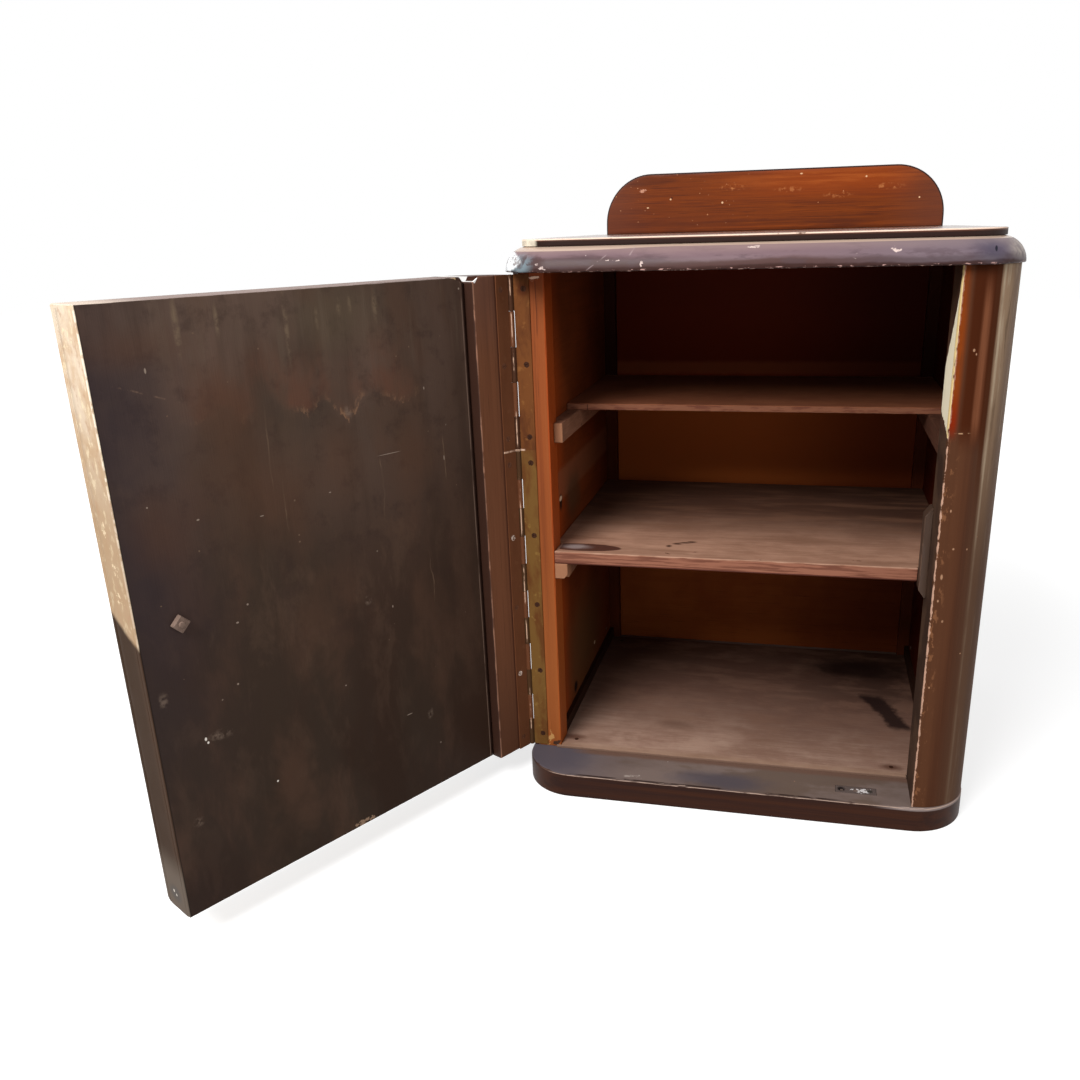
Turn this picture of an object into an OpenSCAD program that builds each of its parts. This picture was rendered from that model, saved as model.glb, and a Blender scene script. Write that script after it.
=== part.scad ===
// Bedside cabinet with one side-hung door, a rounded corner post and a moulded top.
// The front faces -Y, +Z is up, and the origin is the centre of the base board's underside.

/* [Body] */
// Width over the side panels
body_w = 408; // [360:2:480]
// Depth from the front of the corner post to the back
body_d = 345; // [300:5:420]
// Height from the base board to the top
opening_h = 462; // [400:2:560]
// Radius of the rounded corners of the post and the door
corner_r = 46; // [40:1:50]

/* [Base] */
// Thickness of the base board
base_t = 24; // [15:1:40]
// How far the base board stands out in front
base_over_front = 2.5; // [0:0.5:10]
// How far the base board stands out at the sides
base_over_side = 1; // [0:0.5:10]
// Thickness of the bare floor board
floor_t = 2.5; // [2:0.5:6]
// Width of the cleats where floor and walls meet
cleat_w = 4.5; // [3:0.5:10]
// Height of those cleats
cleat_h = 12; // [6:1:20]

/* [Side walls] */
// Thickness of the outer side panels
side_t = 5; // [3:0.5:8]
// Thickness of the inner liners
liner_t = 5; // [3:0.5:8]
// Thickness of a whole side wall
wall_t = 23; // [20:1:26]
// Width of the front stile, from the outside of the cabinet
stile_w = 27.5; // [27:0.5:34]
// Depth of the front stile
stile_d = 26; // [20:1:32]
// Width of the right corner post
post_w = 47; // [47:1:56]
// Depth of the right corner post
post_d = 51; // [51:1:60]
// Width of the back posts that shows inside
back_post_w = 12; // [8:1:16]
// Depth of the back posts
back_post_d = 11; // [8:1:20]
// Thickness of the back panel
back_t = 6; // [4:0.5:8]
// Height of the rails inside the side walls
rail_h = 30; // [20:1:50]
// Slot between a liner and its back post
liner_gap = 2; // [0:0.5:4]

/* [Top] */
// Thickness of the core board, and radius of the moulding round it
top_core_t = 20; // [12:1:26]
// How far the top stands out in front
top_over_front = 8; // [2:0.5:15]
// How far the top stands out at the sides
top_over_side = 2.5; // [0:0.5:10]
// Radius of the front corners of the top
top_corner_r = 52; // [44:1:60]
// Thickness of the thin panel on the top
top_panel_t = 5.5; // [3:0.5:8]
// How far that panel is set in from the edge of the moulding
top_panel_inset = 15; // [8:1:19]
// Width of the upstand
upstand_w = 355; // [280:5:355]
// Height of the upstand
upstand_h = 61; // [55:1:90]
// Thickness of the upstand
upstand_t = 14; // [10:1:20]
// Radius of the upper corners of the upstand
upstand_r = 50; // [20:1:54]
// Depth of the seat in the top that the upstand stands in
upstand_seat = 1; // [0.5:0.5:2]
// Radius of the dowels that hold the upstand
dowel_r = 4; // [3:0.5:4.5]
// Distance from one dowel to the other
dowel_gap = 220; // [100:5:240]
// Depth of a dowel in the upstand
dowel_up = 22; // [12:1:40]
// Depth of a dowel in the top
dowel_down = 18; // [12:1:24]

/* [Shelves] */
// Height of the middle shelf above the base board
middle_shelf_z = 196; // [160:1:220]
// Thickness of the middle shelf
middle_shelf_t = 12; // [8:0.5:18]
// Height of the upper shelf above the base board
upper_shelf_z = 327; // [290:1:350]
// Thickness of the upper shelf
upper_shelf_t = 6; // [4:0.5:12]
// Distance from the stile's face back to the upper shelf's front edge
upper_shelf_back = 85; // [20:1:140]
// Distance from the stile's face back to the ends of the upper runners
upper_runner_back = 14; // [4:1:18]
// Width of the upper left runner, from the liner
upper_runner_w = 13; // [8:0.5:20]
// Height of the upper runners
upper_runner_h = 18; // [10:1:24]
// Width of the middle left runner, from the liner
middle_runner_w = 17; // [8:0.5:20]
// Height of the middle runners
middle_runner_h = 15; // [10:1:24]
// Size of the chamfer on the middle left runner's end
runner_chamfer = 5; // [1:0.5:7]

/* [Door] */
// Gap between the door and the base board
door_gap_bottom = 2; // [2:0.5:4]
// Gap between the door and the top
door_gap_top = 3; // [1:0.5:6]
// Gap between the door's free edge and the post
door_gap_side = 3; // [2.5:0.5:6]
// Width of the corner stile's inner face
strip_w = 40; // [34:1:40]
// How far that face stands proud of the door's back panel
strip_step = 9.5; // [6:0.5:14]
// Thickness of the door's front panel
door_front_t = 5; // [3:0.5:8]
// Thickness of the door's back panel
door_back_t = 4; // [3:0.5:8]
// Distance from the door's lower edge up to the back panel
door_back_up = 1.5; // [0:0.5:10]
// Width of the lock stile
lock_stile_w = 50; // [46:1:70]
// Height of the top and bottom rails of the door
door_rail_h = 42; // [30:1:60]
// Height of the lock rail
lock_rail_h = 50; // [30:1:80]
// Width and height of the nick at the top of the corner stile
strip_nick = 5; // [2:0.5:8]
// How far the door stands open, in degrees
door_open = 119.4; // [0:0.1:170]

/* [Knob] */
// Height of the knob above the door's lower edge
knob_z = 236; // [180:1:260]
// Distance from the knob to the door's free edge
knob_in = 31; // [24:1:40]
// Radius of the knob
knob_r = 15; // [11:0.5:20]
// Length of the knob
knob_l = 24; // [18:1:34]
// Radius of the knob's bolt
bolt_r = 2.4; // [1.5:0.1:3]
// Width across the flats of the square nut
nut_w = 10; // [8:0.5:14]
// Thickness of the nut
nut_t = 4; // [2:0.5:5]
// Clearance round the bolt in the door
bolt_clear = 0.1; // [0.05:0.05:0.4]

/* [Door stop] */
// Length of the stop block where it meets the post
stop_h = 84; // [60:1:110]
// How far the stop block stands out
stop_out = 6.5; // [4:0.5:10]
// Depth of the stop block
stop_d = 16; // [12:0.5:16]
// Length of the bevels at the block's ends
stop_bevel = 9; // [4:0.5:14]
// Height of the stop block above the base board
stop_z = 183; // [150:1:210]
// Clearance between the closed door and the stop
stop_clear = 0.5; // [0.3:0.1:2]

/* [Catch] */
// Distance from the post's inner face to the catch
catch_in = 47; // [30:1:60]
// Radius of the catch ball
ball_r = 3.5; // [2.5:0.5:4]
// How far the ball stands out under the door
ball_out = 1.5; // [0.8:0.1:1.6]
// Clearance between the ball and its barrel
ball_clear = 0.06; // [0.03:0.01:0.1]
// Wall of the barrel
barrel_wall = 1; // [0.8:0.1:1.5]
// Length of the barrel
barrel_l = 18; // [14:1:26]
// Length of the strike plate
strike_l = 36; // [30:1:46]
// Width of the strike plate
strike_w = 11; // [8:0.5:14]
// Thickness of the strike plate
strike_t = 1; // [0.8:0.1:2]
// Radius of the hole for the ball
strike_hole_r = 2.6; // [2:0.1:4]

/* [Hinges] */
// Thickness of a hinge leaf
leaf_t = 1.2; // [0.8:0.1:1.4]
// Gap between the two leaves when closed
leaf_gap = 0.4; // [0.3:0.1:0.6]
// Width of a leaf from the pin
leaf_w = 16.5; // [12:0.5:20]
// Radius of the knuckles
knuckle_r = 2.4; // [2.2:0.1:2.6]
// Radius of the pins
pin_r = 1.2; // [0.8:0.1:1.4]
// Clearance between a pin and its knuckles
pin_clear = 0.05; // [0.02:0.01:0.1]
// Distance from the pins to the side of the cabinet
pin_out = 2.4; // [2.4:0.1:3]
// Gap between neighbouring knuckles
knuckle_gap = 0.4; // [0.3:0.1:1]
// Height above the door's lower edge where the two hinges meet
hinge_split = 303; // [240:1:340]
// Knuckles of the upper hinge
upper_knuckles = 5; // [3:2:9]
// Knuckles of the lower hinge
lower_knuckles = 11; // [5:2:15]
// Screws in each upper leaf
upper_screws = 3; // [2:1:4]
// Screws in each lower leaf
lower_screws = 5; // [3:1:7]

/* [Screws and nails] */
// Radius of a screw's head
screw_head_r = 2.6; // [2:0.1:3]
// Radius of a screw's shank
screw_r = 1.3; // [0.8:0.1:1.5]
// Length of a screw
screw_l = 13; // [8:1:16]
// Distance from the pin to the leaf screws
screw_in = 11.5; // [8:0.5:13]
// Distance from a hinge's end to its first screw
screw_end = 12; // [8:1:20]
// Radius of a nail's head
nail_head_r = 2; // [1:0.1:3]
// Radius of a nail's shank
nail_r = 0.8; // [0.5:0.1:1]
// Thickness of a nail's head
nail_head_t = 0.4; // [0.3:0.1:1]
// Length of a nail
nail_l = 14; // [8:1:16]
// Distance from the nails to the edge of a board
nail_in = 13; // [8:1:20]

/* [Hidden] */
$fn = 48;
// Small overlap that keeps cutting faces clear of the faces they cut
eps = 0.01;
// Clearance of loose boards
fit = 0.3;

half_w = body_w / 2;
front_y = -body_d / 2;
back_y = body_d / 2;
top_z = base_t + opening_h;
wall_x = half_w - wall_t;
stile_x = half_w - stile_w;
post_x = half_w - post_w;

// The door's corner stile ends in a flat strip that folds against the cabinet's stile
strip_y = front_y + corner_r;
stile_y = strip_y + 2 * leaf_t + leaf_gap;
pin_x = -half_w - pin_out;
pin_y = (strip_y + stile_y) / 2;
post_back_y = front_y + post_d;
back_post_x = half_w - wall_t - back_post_w;
back_in_y = back_y - back_t;
back_post_y = back_in_y - back_post_d;

door_z = base_t + door_gap_bottom;
door_top_z = top_z - door_gap_top;
door_h = door_top_z - door_z;
door_x = post_x - door_gap_side;
door_in_y = strip_y - strip_step;
frame_y = front_y + door_front_t;
frame_back_y = door_in_y - door_back_t;
door_mid_y = (frame_y + frame_back_y) / 2;
corner_x = -half_w + corner_r;
lock_x = door_x - lock_stile_w;
knob_x = door_x - knob_in;
knob_at = door_z + knob_z;
// The knob's neck, its rim and where the dome starts
neck_r = 0.62 * knob_r;
neck_l = 0.45 * knob_l;
rim_r = 0.93 * knob_r;
rim_l = 0.36 * knob_l;
dome_l = 0.4 * knob_l;
knob_bore_l = 0.7 * knob_l;
bolt_end = 1.4 * nut_t;

barrel_bore_r = ball_r + ball_clear;
barrel_r = barrel_bore_r + barrel_wall;
ball_z = door_z - ball_out + ball_r;
// The catch spring sits on the ball's shoulder, under the closed end of the barrel
spring_z = ball_z + 0.8 * ball_r;
spring_top_z = door_z + barrel_l - barrel_wall;
spring_r = 0.88 * ball_r;
spring_in_r = 0.7 * ball_r;

floor_z = base_t + floor_t;
middle_z = base_t + middle_shelf_z;
upper_z = base_t + upper_shelf_z;
upper_front_y = stile_y + upper_shelf_back;
catch_x = post_x - catch_in;
strike_screw_x = strike_l / 2 - strike_w / 2;
split_z = door_z + hinge_split;

top_half_w = half_w + top_over_side;
top_front_y = front_y - top_over_front;
top_up_z = top_z + top_core_t + top_panel_t;

// Colours of the finishes
varnish = [0.24, 0.13, 0.09];
inside_wood = [0.30, 0.14, 0.07];
bare_wood = [0.62, 0.48, 0.38];
orange_wood = [0.60, 0.35, 0.20];
brass = [0.50, 0.40, 0.24];
steel = [0.62, 0.62, 0.62];

// A box given by its lowest and its highest corner
module box(low, high) {
    translate(low) cube(high - low);
}

// Plan of a board from y0 to y1 whose two front corners are rounded
module front_rounded(w, y0, y1, r) {
    intersection() {
        translate([-w / 2, y0]) square([w, y1 - y0]);
        union() {
            translate([-w / 2, y0 + r]) square([w, y1 - y0]);
            translate([-w / 2 + r, y0]) square([w - 2 * r, y1 - y0]);
            for (side = [-1, 1]) translate([side * (w / 2 - r), y0 + r]) circle(r);
        }
    }
}

// One quarter of a disc, in the positive quadrant
module quarter_disc(r) {
    intersection() {
        circle(r);
        square(r);
    }
}

// What rides on the door is modelled closed and then turned about the pins
module on_door() {
    translate([pin_x, pin_y, 0]) rotate(-door_open) translate([-pin_x, -pin_y, 0]) children();
}

// Spaces that loose boards leave free round the stile, the post and the stop
module stile_space() {
    box([-half_w, stile_y - fit, 0], [-stile_x + fit, stile_y + stile_d + fit, top_z]);
}

module post_space() {
    box([post_x - fit, front_y, 0], [half_w, post_back_y + fit, top_z]);
}

module stop_space() {
    box([post_x - stop_out - fit, front_y, 0],
        [half_w, door_in_y + stop_clear + stop_d + fit, top_z]);
}

// A nail whose head lies on the plane z = 0, pointing down
module nail() {
    cylinder(h = nail_head_t, r = nail_head_r);
    translate([0, 0, -nail_l]) cylinder(h = nail_l + eps, r = nail_r);
}

// A countersunk screw whose head is flush with the plane z = 0, pointing down
module screw(sink = leaf_t) {
    translate([0, 0, -sink]) cylinder(h = sink, r1 = screw_r, r2 = screw_head_r);
    translate([0, 0, -screw_l]) cylinder(h = screw_l - sink + eps, r = screw_r);
}

// The hole that a screw's head sits in, through a plate of the given thickness
module screw_seat(sink = leaf_t) {
    translate([0, 0, -sink - eps])
        cylinder(h = sink + 2 * eps, r1 = screw_r + pin_clear, r2 = screw_head_r + pin_clear);
}

module base_board() {
    color(varnish) difference() {
        linear_extrude(base_t)
            front_rounded(body_w + 2 * base_over_side, front_y - base_over_front, back_y,
                corner_r + base_over_front);
        box([catch_x - strike_l / 2 - fit, door_mid_y - strike_w / 2 - fit, base_t - strike_t],
            [catch_x + strike_l / 2 + fit, door_mid_y + strike_w / 2 + fit, base_t + eps]);
    }
}

module floor_board() {
    color(bare_wood) difference() {
        box([-wall_x + fit, strip_y, base_t], [wall_x - fit, back_post_y, floor_z]);
        stile_space();
        post_space();
    }
}

module floor_cleat(side) {
    start_y = side < 0 ? stile_y + stile_d : post_back_y;
    color(inside_wood) translate([side * wall_x, start_y, floor_z])
        translate([side < 0 ? 0 : -cleat_w, 0, 0])
            cube([cleat_w, back_post_y - start_y, cleat_h]);
}

module floor_nails() {
    color(steel) for (x = [-stile_x + nail_in, post_x - nail_in])
        for (y = [stile_y + nail_in, back_post_y - nail_in])
            translate([x, y, floor_z]) nail();
}

module left_side_panel() {
    color(varnish) box([-half_w, stile_y, base_t], [-half_w + side_t, back_y, top_z]);
}

module right_side_panel() {
    color(varnish) box([half_w - side_t, post_back_y, base_t], [half_w, back_y, top_z]);
}

module left_side_liner() {
    color(inside_wood) box([-wall_x - liner_t, stile_y + stile_d, base_t],
        [-wall_x, back_post_y - liner_gap, top_z]);
}

module right_side_liner() {
    color(inside_wood) box([wall_x, post_back_y, base_t],
        [wall_x + liner_t, back_post_y - liner_gap, top_z]);
}

// Top and bottom rails between a side panel and its liner
module left_wall_rails() {
    color(inside_wood) for (z = [base_t, top_z - rail_h])
        box([-half_w + side_t, stile_y + stile_d, z],
            [-wall_x - liner_t, back_post_y, z + rail_h]);
}

module right_wall_rails() {
    color(inside_wood) for (z = [base_t, top_z - rail_h])
        box([wall_x + liner_t, post_back_y, z], [half_w - side_t, back_post_y, z + rail_h]);
}

module left_front_stile() {
    color(orange_wood) box([-half_w + side_t, stile_y, base_t],
        [-stile_x, stile_y + stile_d, top_z]);
}

module right_corner_post() {
    color(varnish) translate([0, 0, base_t]) linear_extrude(opening_h) difference() {
        translate([post_x, front_y]) square([post_w, post_d]);
        difference() {
            translate([half_w - corner_r, front_y - corner_r]) square(2 * corner_r);
            translate([half_w - corner_r, strip_y]) circle(corner_r);
            translate([post_x, strip_y]) square([post_w, 2 * post_d]);
        }
    }
}

module left_back_post() {
    color(inside_wood) box([-half_w + side_t, back_post_y, base_t],
        [-back_post_x, back_in_y, top_z]);
}

module right_back_post() {
    color(inside_wood) box([back_post_x, back_post_y, base_t],
        [half_w - side_t, back_in_y, top_z]);
}

module back_panel() {
    color(inside_wood) box([-half_w + side_t, back_in_y, base_t],
        [half_w - side_t, back_y, top_z]);
}

// Nails down both edges of the back panel
module back_nails() {
    color(steel) for (x = [-1, 1] * (half_w - side_t - nail_in))
        for (i = [0 : 4])
            translate([x, back_y, base_t + nail_in + i * (opening_h - 2 * nail_in) / 4])
                rotate([-90, 0, 0]) nail();
}

// Nails that hold the liners to the wall rails
module liner_nails() {
    color(steel) for (side = [-1, 1]) for (z = [base_t, top_z - rail_h])
        for (y = [stile_y + stile_d, back_post_y - 3 * nail_in])
            translate([side * wall_x, y + nail_in, z + rail_h - nail_in / 2])
                rotate([0, -side * 90, 0]) nail();
}

module top_core() {
    color(varnish) difference() {
        translate([0, 0, top_z]) linear_extrude(top_core_t)
            front_rounded(2 * (top_half_w - top_core_t), top_front_y + top_core_t, back_y,
                top_corner_r - top_core_t);
        dowels(pin_clear);
    }
}

// Quarter-round moulding along the front and both sides of the core
module top_moulding() {
    color(varnish) translate([0, 0, top_z]) {
        translate([-(top_half_w - top_corner_r), top_front_y + top_core_t, 0])
            rotate([90, 0, 90]) linear_extrude(2 * (top_half_w - top_corner_r))
                mirror([1, 0]) quarter_disc(top_core_t);
        for (side = [0, 1]) mirror([side, 0, 0]) {
            translate([top_half_w - top_core_t, back_y, 0])
                rotate([90, 0, 0]) linear_extrude(back_y - top_front_y - top_corner_r)
                    quarter_disc(top_core_t);
            translate([top_half_w - top_corner_r, top_front_y + top_corner_r, 0])
                rotate(-90) rotate_extrude(angle = 90)
                    translate([top_corner_r - top_core_t, 0]) quarter_disc(top_core_t);
        }
    }
}

module top_panel() {
    color(varnish) difference() {
        translate([0, 0, top_z + top_core_t]) linear_extrude(top_panel_t)
            front_rounded(2 * (top_half_w - top_panel_inset), top_front_y + top_panel_inset,
                back_y, top_corner_r - top_panel_inset);
        box([-upstand_w / 2 - fit, back_y - upstand_t - fit, top_up_z - upstand_seat],
            [upstand_w / 2 + fit, back_y + eps, top_up_z + eps]);
        dowels(pin_clear);
    }
}

module upstand() {
    color(varnish) difference() {
        translate([0, back_y, top_up_z + upstand_h]) rotate([90, 0, 0])
            linear_extrude(upstand_t) mirror([0, 1])
                front_rounded(upstand_w, 0, upstand_h + upstand_seat, upstand_r);
        dowels(pin_clear);
    }
}

// Dowels between the top and the upstand, with a clearance when they cut their holes
module dowels(clear = 0) {
    for (side = [-1, 1])
        translate([side * dowel_gap / 2, back_y - upstand_t / 2, top_up_z - dowel_down - clear])
            cylinder(h = dowel_down + dowel_up + 2 * clear, r = dowel_r + clear);
}

module upstand_dowels() {
    color(bare_wood) dowels();
}

module upper_shelf() {
    color(bare_wood) box([-wall_x + fit, upper_front_y, upper_z],
        [wall_x - fit, back_post_y - fit, upper_z + upper_shelf_t]);
}

// The middle shelf is notched round the stile, the post and the door stop
module middle_shelf() {
    color(bare_wood) difference() {
        box([-wall_x + fit, stile_y, middle_z],
            [wall_x - fit, back_post_y - fit, middle_z + middle_shelf_t]);
        stile_space();
        post_space();
        stop_space();
    }
}

module upper_left_runner() {
    color(bare_wood) difference() {
        box([-wall_x, stile_y + upper_runner_back, upper_z - upper_runner_h],
            [-wall_x + upper_runner_w, back_post_y, upper_z]);
        stile_space();
    }
}

module upper_right_runner() {
    color(bare_wood) box([post_x, post_back_y, upper_z - upper_runner_h],
        [wall_x, back_post_y, upper_z]);
}

module middle_left_runner() {
    color(bare_wood) difference() {
        box([-wall_x, stile_y, middle_z - middle_runner_h],
            [-wall_x + middle_runner_w, back_post_y, middle_z]);
        stile_space();
        translate([-wall_x + middle_runner_w, stile_y, middle_z - middle_runner_h])
            rotate([0, 45, 0]) cube(2 * [runner_chamfer, runner_chamfer, runner_chamfer] / sqrt(2),
                center = true);
    }
}

module middle_right_runner() {
    color(bare_wood) box([post_x, post_back_y, middle_z - middle_runner_h],
        [wall_x, back_post_y, middle_z]);
}

// Block on the post's inner face that the closed door rests against, bevelled at both ends
module door_stop() {
    color(varnish) translate([post_x, door_in_y + stop_clear + stop_d, base_t + stop_z])
        rotate([90, 0, 0]) linear_extrude(stop_d)
            polygon([[0, 0], [0, stop_h], [-stop_out, stop_h - stop_bevel],
                [-stop_out, stop_bevel]]);
}

module strike_plate() {
    color(steel) difference() {
        box([catch_x - strike_l / 2, door_mid_y - strike_w / 2, base_t - strike_t],
            [catch_x + strike_l / 2, door_mid_y + strike_w / 2, base_t]);
        translate([catch_x, door_mid_y, base_t - strike_t - eps])
            cylinder(h = strike_t + 2 * eps, r = strike_hole_r);
        for (side = [-1, 1])
            translate([catch_x + side * strike_screw_x, door_mid_y, base_t])
                screw_seat(strike_t);
    }
}

// One of the strike plate's two screws is lost
module strike_screw() {
    color(steel) translate([catch_x + strike_screw_x, door_mid_y, base_t]) screw(strike_t);
}

// Heights of the screws of a hinge that reaches from z0 to z1
function screw_heights(z0, z1, count) =
    [for (i = [0 : count - 1]) z0 + screw_end + i * (z1 - z0 - 2 * screw_end) / (count - 1)];

// One leaf with its knuckles, drawn closed: face 1 lies on the cabinet, face -1 on the door.
// The knuckles with even numbers belong to the cabinet's leaf.
module leaf(z0, z1, knuckles, screws, face) {
    pitch = (z1 - z0) / knuckles;
    first = face > 0 ? 0 : 1;
    low_y = face > 0 ? stile_y - leaf_t : strip_y;
    difference() {
        union() {
            box([pin_x + knuckle_r + knuckle_gap, low_y, z0],
                [pin_x + leaf_w, low_y + leaf_t, z1]);
            for (i = [first : 2 : knuckles - 1]) {
                low_z = z0 + i * pitch + knuckle_gap / 2;
                translate([pin_x, pin_y, low_z])
                    cylinder(h = pitch - knuckle_gap, r = knuckle_r);
                box([pin_x, low_y, low_z],
                    [pin_x + leaf_w, low_y + leaf_t, low_z + pitch - knuckle_gap]);
            }
        }
        translate([pin_x, pin_y, z0 - eps])
            cylinder(h = z1 - z0 + 2 * eps, r = pin_r + pin_clear);
        for (z = screw_heights(z0, z1, screws))
            translate([pin_x + screw_in, face > 0 ? low_y : low_y + leaf_t, z])
                rotate([face * 90, 0, 0]) screw_seat();
    }
}

module leaf_screws(face) {
    heights = concat(screw_heights(door_z, split_z, lower_screws),
        screw_heights(split_z, door_top_z, upper_screws));
    for (z = heights)
        translate([pin_x + screw_in, face > 0 ? stile_y - leaf_t : strip_y + leaf_t, z])
            rotate([face * 90, 0, 0]) screw();
}

module upper_hinge_frame_leaf() {
    color(brass) leaf(split_z, door_top_z, upper_knuckles, upper_screws, 1);
}

module lower_hinge_frame_leaf() {
    color(brass) leaf(door_z, split_z, lower_knuckles, lower_screws, 1);
}

module upper_hinge_door_leaf() {
    color(brass) on_door() leaf(split_z, door_top_z, upper_knuckles, upper_screws, -1);
}

module lower_hinge_door_leaf() {
    color(brass) on_door() leaf(door_z, split_z, lower_knuckles, lower_screws, -1);
}

module upper_hinge_pin() {
    color(steel) translate([pin_x, pin_y, split_z]) cylinder(h = door_top_z - split_z, r = pin_r);
}

module lower_hinge_pin() {
    color(steel) translate([pin_x, pin_y, door_z]) cylinder(h = split_z - door_z, r = pin_r);
}

module frame_leaf_screws() {
    color(steel) leaf_screws(1);
}

module door_leaf_screws() {
    color(steel) on_door() leaf_screws(-1);
}

// Quarter-round stile at the hinge end, rebated for the back panel
module door_corner_stile() {
    color(varnish) on_door() difference() {
        translate([0, 0, door_z]) linear_extrude(door_h) difference() {
            intersection() {
                translate([corner_x, strip_y]) circle(corner_r);
                translate([-half_w, front_y]) square(corner_r);
            }
            translate([-half_w + strip_w, frame_back_y]) square(corner_r);
        }
        translate([-half_w + strip_w, strip_y + eps, door_top_z]) rotate([90, 0, 0])
            linear_extrude(strip_step + door_back_t)
                polygon([[eps, eps], [-strip_nick, eps], [eps, -strip_nick]]);
    }
}

module door_lock_stile() {
    color(bare_wood) on_door() difference() {
        box([lock_x, frame_y, door_z], [door_x, frame_back_y, door_top_z]);
        bolt_space();
        barrel_space();
    }
}

module door_top_rail() {
    color(bare_wood) on_door() box([corner_x, frame_y, door_top_z - door_rail_h],
        [lock_x, frame_back_y, door_top_z]);
}

module door_lock_rail() {
    color(bare_wood) on_door() box([corner_x, frame_y, knob_at - lock_rail_h / 2],
        [lock_x, frame_back_y, knob_at + lock_rail_h / 2]);
}

module door_bottom_rail() {
    color(bare_wood) on_door() difference() {
        box([corner_x, frame_y, door_z], [lock_x, frame_back_y, door_z + door_rail_h]);
        barrel_space();
    }
}

module door_front_panel() {
    color(varnish) on_door() difference() {
        box([corner_x, front_y, door_z], [door_x, frame_y, door_top_z]);
        bolt_space();
    }
}

module door_back_panel() {
    color(varnish) on_door() difference() {
        box([-half_w + strip_w, frame_back_y, door_z + door_back_up],
            [door_x, door_in_y, door_top_z]);
        bolt_space();
    }
}

// Hole for the knob's bolt, right through the door
module bolt_space() {
    translate([knob_x, front_y - eps, knob_at]) rotate([-90, 0, 0])
        cylinder(h = door_in_y - front_y + 2 * eps, r = bolt_r + bolt_clear);
}

// Turned knob: a waisted neck under a shallow dome
module knob() {
    color(varnish) on_door() translate([knob_x, front_y, knob_at]) rotate([90, 0, 0])
        difference() {
            rotate_extrude() {
                square([neck_r, neck_l]);
                translate([0, neck_l - eps]) square([rim_r, rim_l]);
                intersection() {
                    translate([0, knob_l - dome_l]) scale([knob_r, dome_l]) circle(1);
                    square([knob_r, knob_l]);
                }
            }
            translate([0, 0, -eps]) cylinder(h = knob_bore_l + eps, r = bolt_r + pin_clear);
        }
}

module knob_bolt() {
    color(steel) on_door() translate([knob_x, front_y - knob_bore_l, knob_at])
        rotate([-90, 0, 0])
            cylinder(h = knob_bore_l + door_in_y - front_y + bolt_end, r = bolt_r);
}

// Square nut that stands on one corner
module knob_nut() {
    color(steel) on_door() translate([knob_x, door_in_y, knob_at]) rotate([-90, 0, 0])
        difference() {
            rotate(45) translate([-nut_w / 2, -nut_w / 2, 0]) cube([nut_w, nut_w, nut_t]);
            translate([0, 0, -eps]) cylinder(h = nut_t + 2 * eps, r = bolt_r + pin_clear);
        }
}

// Hole in the door's lower edge for the catch barrel
module barrel_space() {
    translate([catch_x, door_mid_y, door_z - eps])
        cylinder(h = barrel_l + pin_clear + eps, r = barrel_r + pin_clear);
}

module catch_barrel() {
    color(brass) on_door() translate([catch_x, door_mid_y, door_z]) difference() {
        cylinder(h = barrel_l, r = barrel_r);
        translate([0, 0, -eps]) cylinder(h = barrel_l - barrel_wall + eps, r = barrel_bore_r);
    }
}

// The spring is drawn as the sleeve that its turns fill
module catch_spring() {
    color(steel) on_door() translate([catch_x, door_mid_y, spring_z])
        difference() {
            cylinder(h = spring_top_z - spring_z, r = spring_r);
            translate([0, 0, -eps]) cylinder(h = barrel_l, r = spring_in_r);
        }
}

module catch_ball() {
    color(steel) on_door() translate([catch_x, door_mid_y, ball_z]) sphere(ball_r);
}

base_board();
floor_board();
floor_cleat(-1);  // left_floor_cleat
floor_cleat(1);  // right_floor_cleat
floor_nails();
left_side_panel();
right_side_panel();
left_side_liner();
right_side_liner();
left_wall_rails();
right_wall_rails();
left_front_stile();
right_corner_post();
left_back_post();
right_back_post();
back_panel();
back_nails();
liner_nails();
top_core();
top_moulding();
top_panel();
upstand();
upstand_dowels();
upper_shelf();
middle_shelf();
upper_left_runner();
upper_right_runner();
middle_left_runner();
middle_right_runner();
door_stop();
strike_plate();
strike_screw();
upper_hinge_frame_leaf();
lower_hinge_frame_leaf();
upper_hinge_pin();
lower_hinge_pin();
frame_leaf_screws();
upper_hinge_door_leaf();
lower_hinge_door_leaf();
door_leaf_screws();
door_corner_stile();
door_lock_stile();
door_top_rail();
door_lock_rail();
door_bottom_rail();
door_front_panel();
door_back_panel();
knob();
knob_bolt();
knob_nut();
catch_barrel();
catch_spring();
catch_ball();
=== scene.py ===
# Bedside cabinet in old dark varnish, with bare shelves and its door standing open on a long hinge.
# Lengths are millimetres until a mesh is written, which is in metres. What rides on the door is drawn
# closed and turned about the hinge pins by the angle at which the door stands open.
import functools
import math

import bpy
import numpy as np
from mathutils import Matrix


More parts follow.
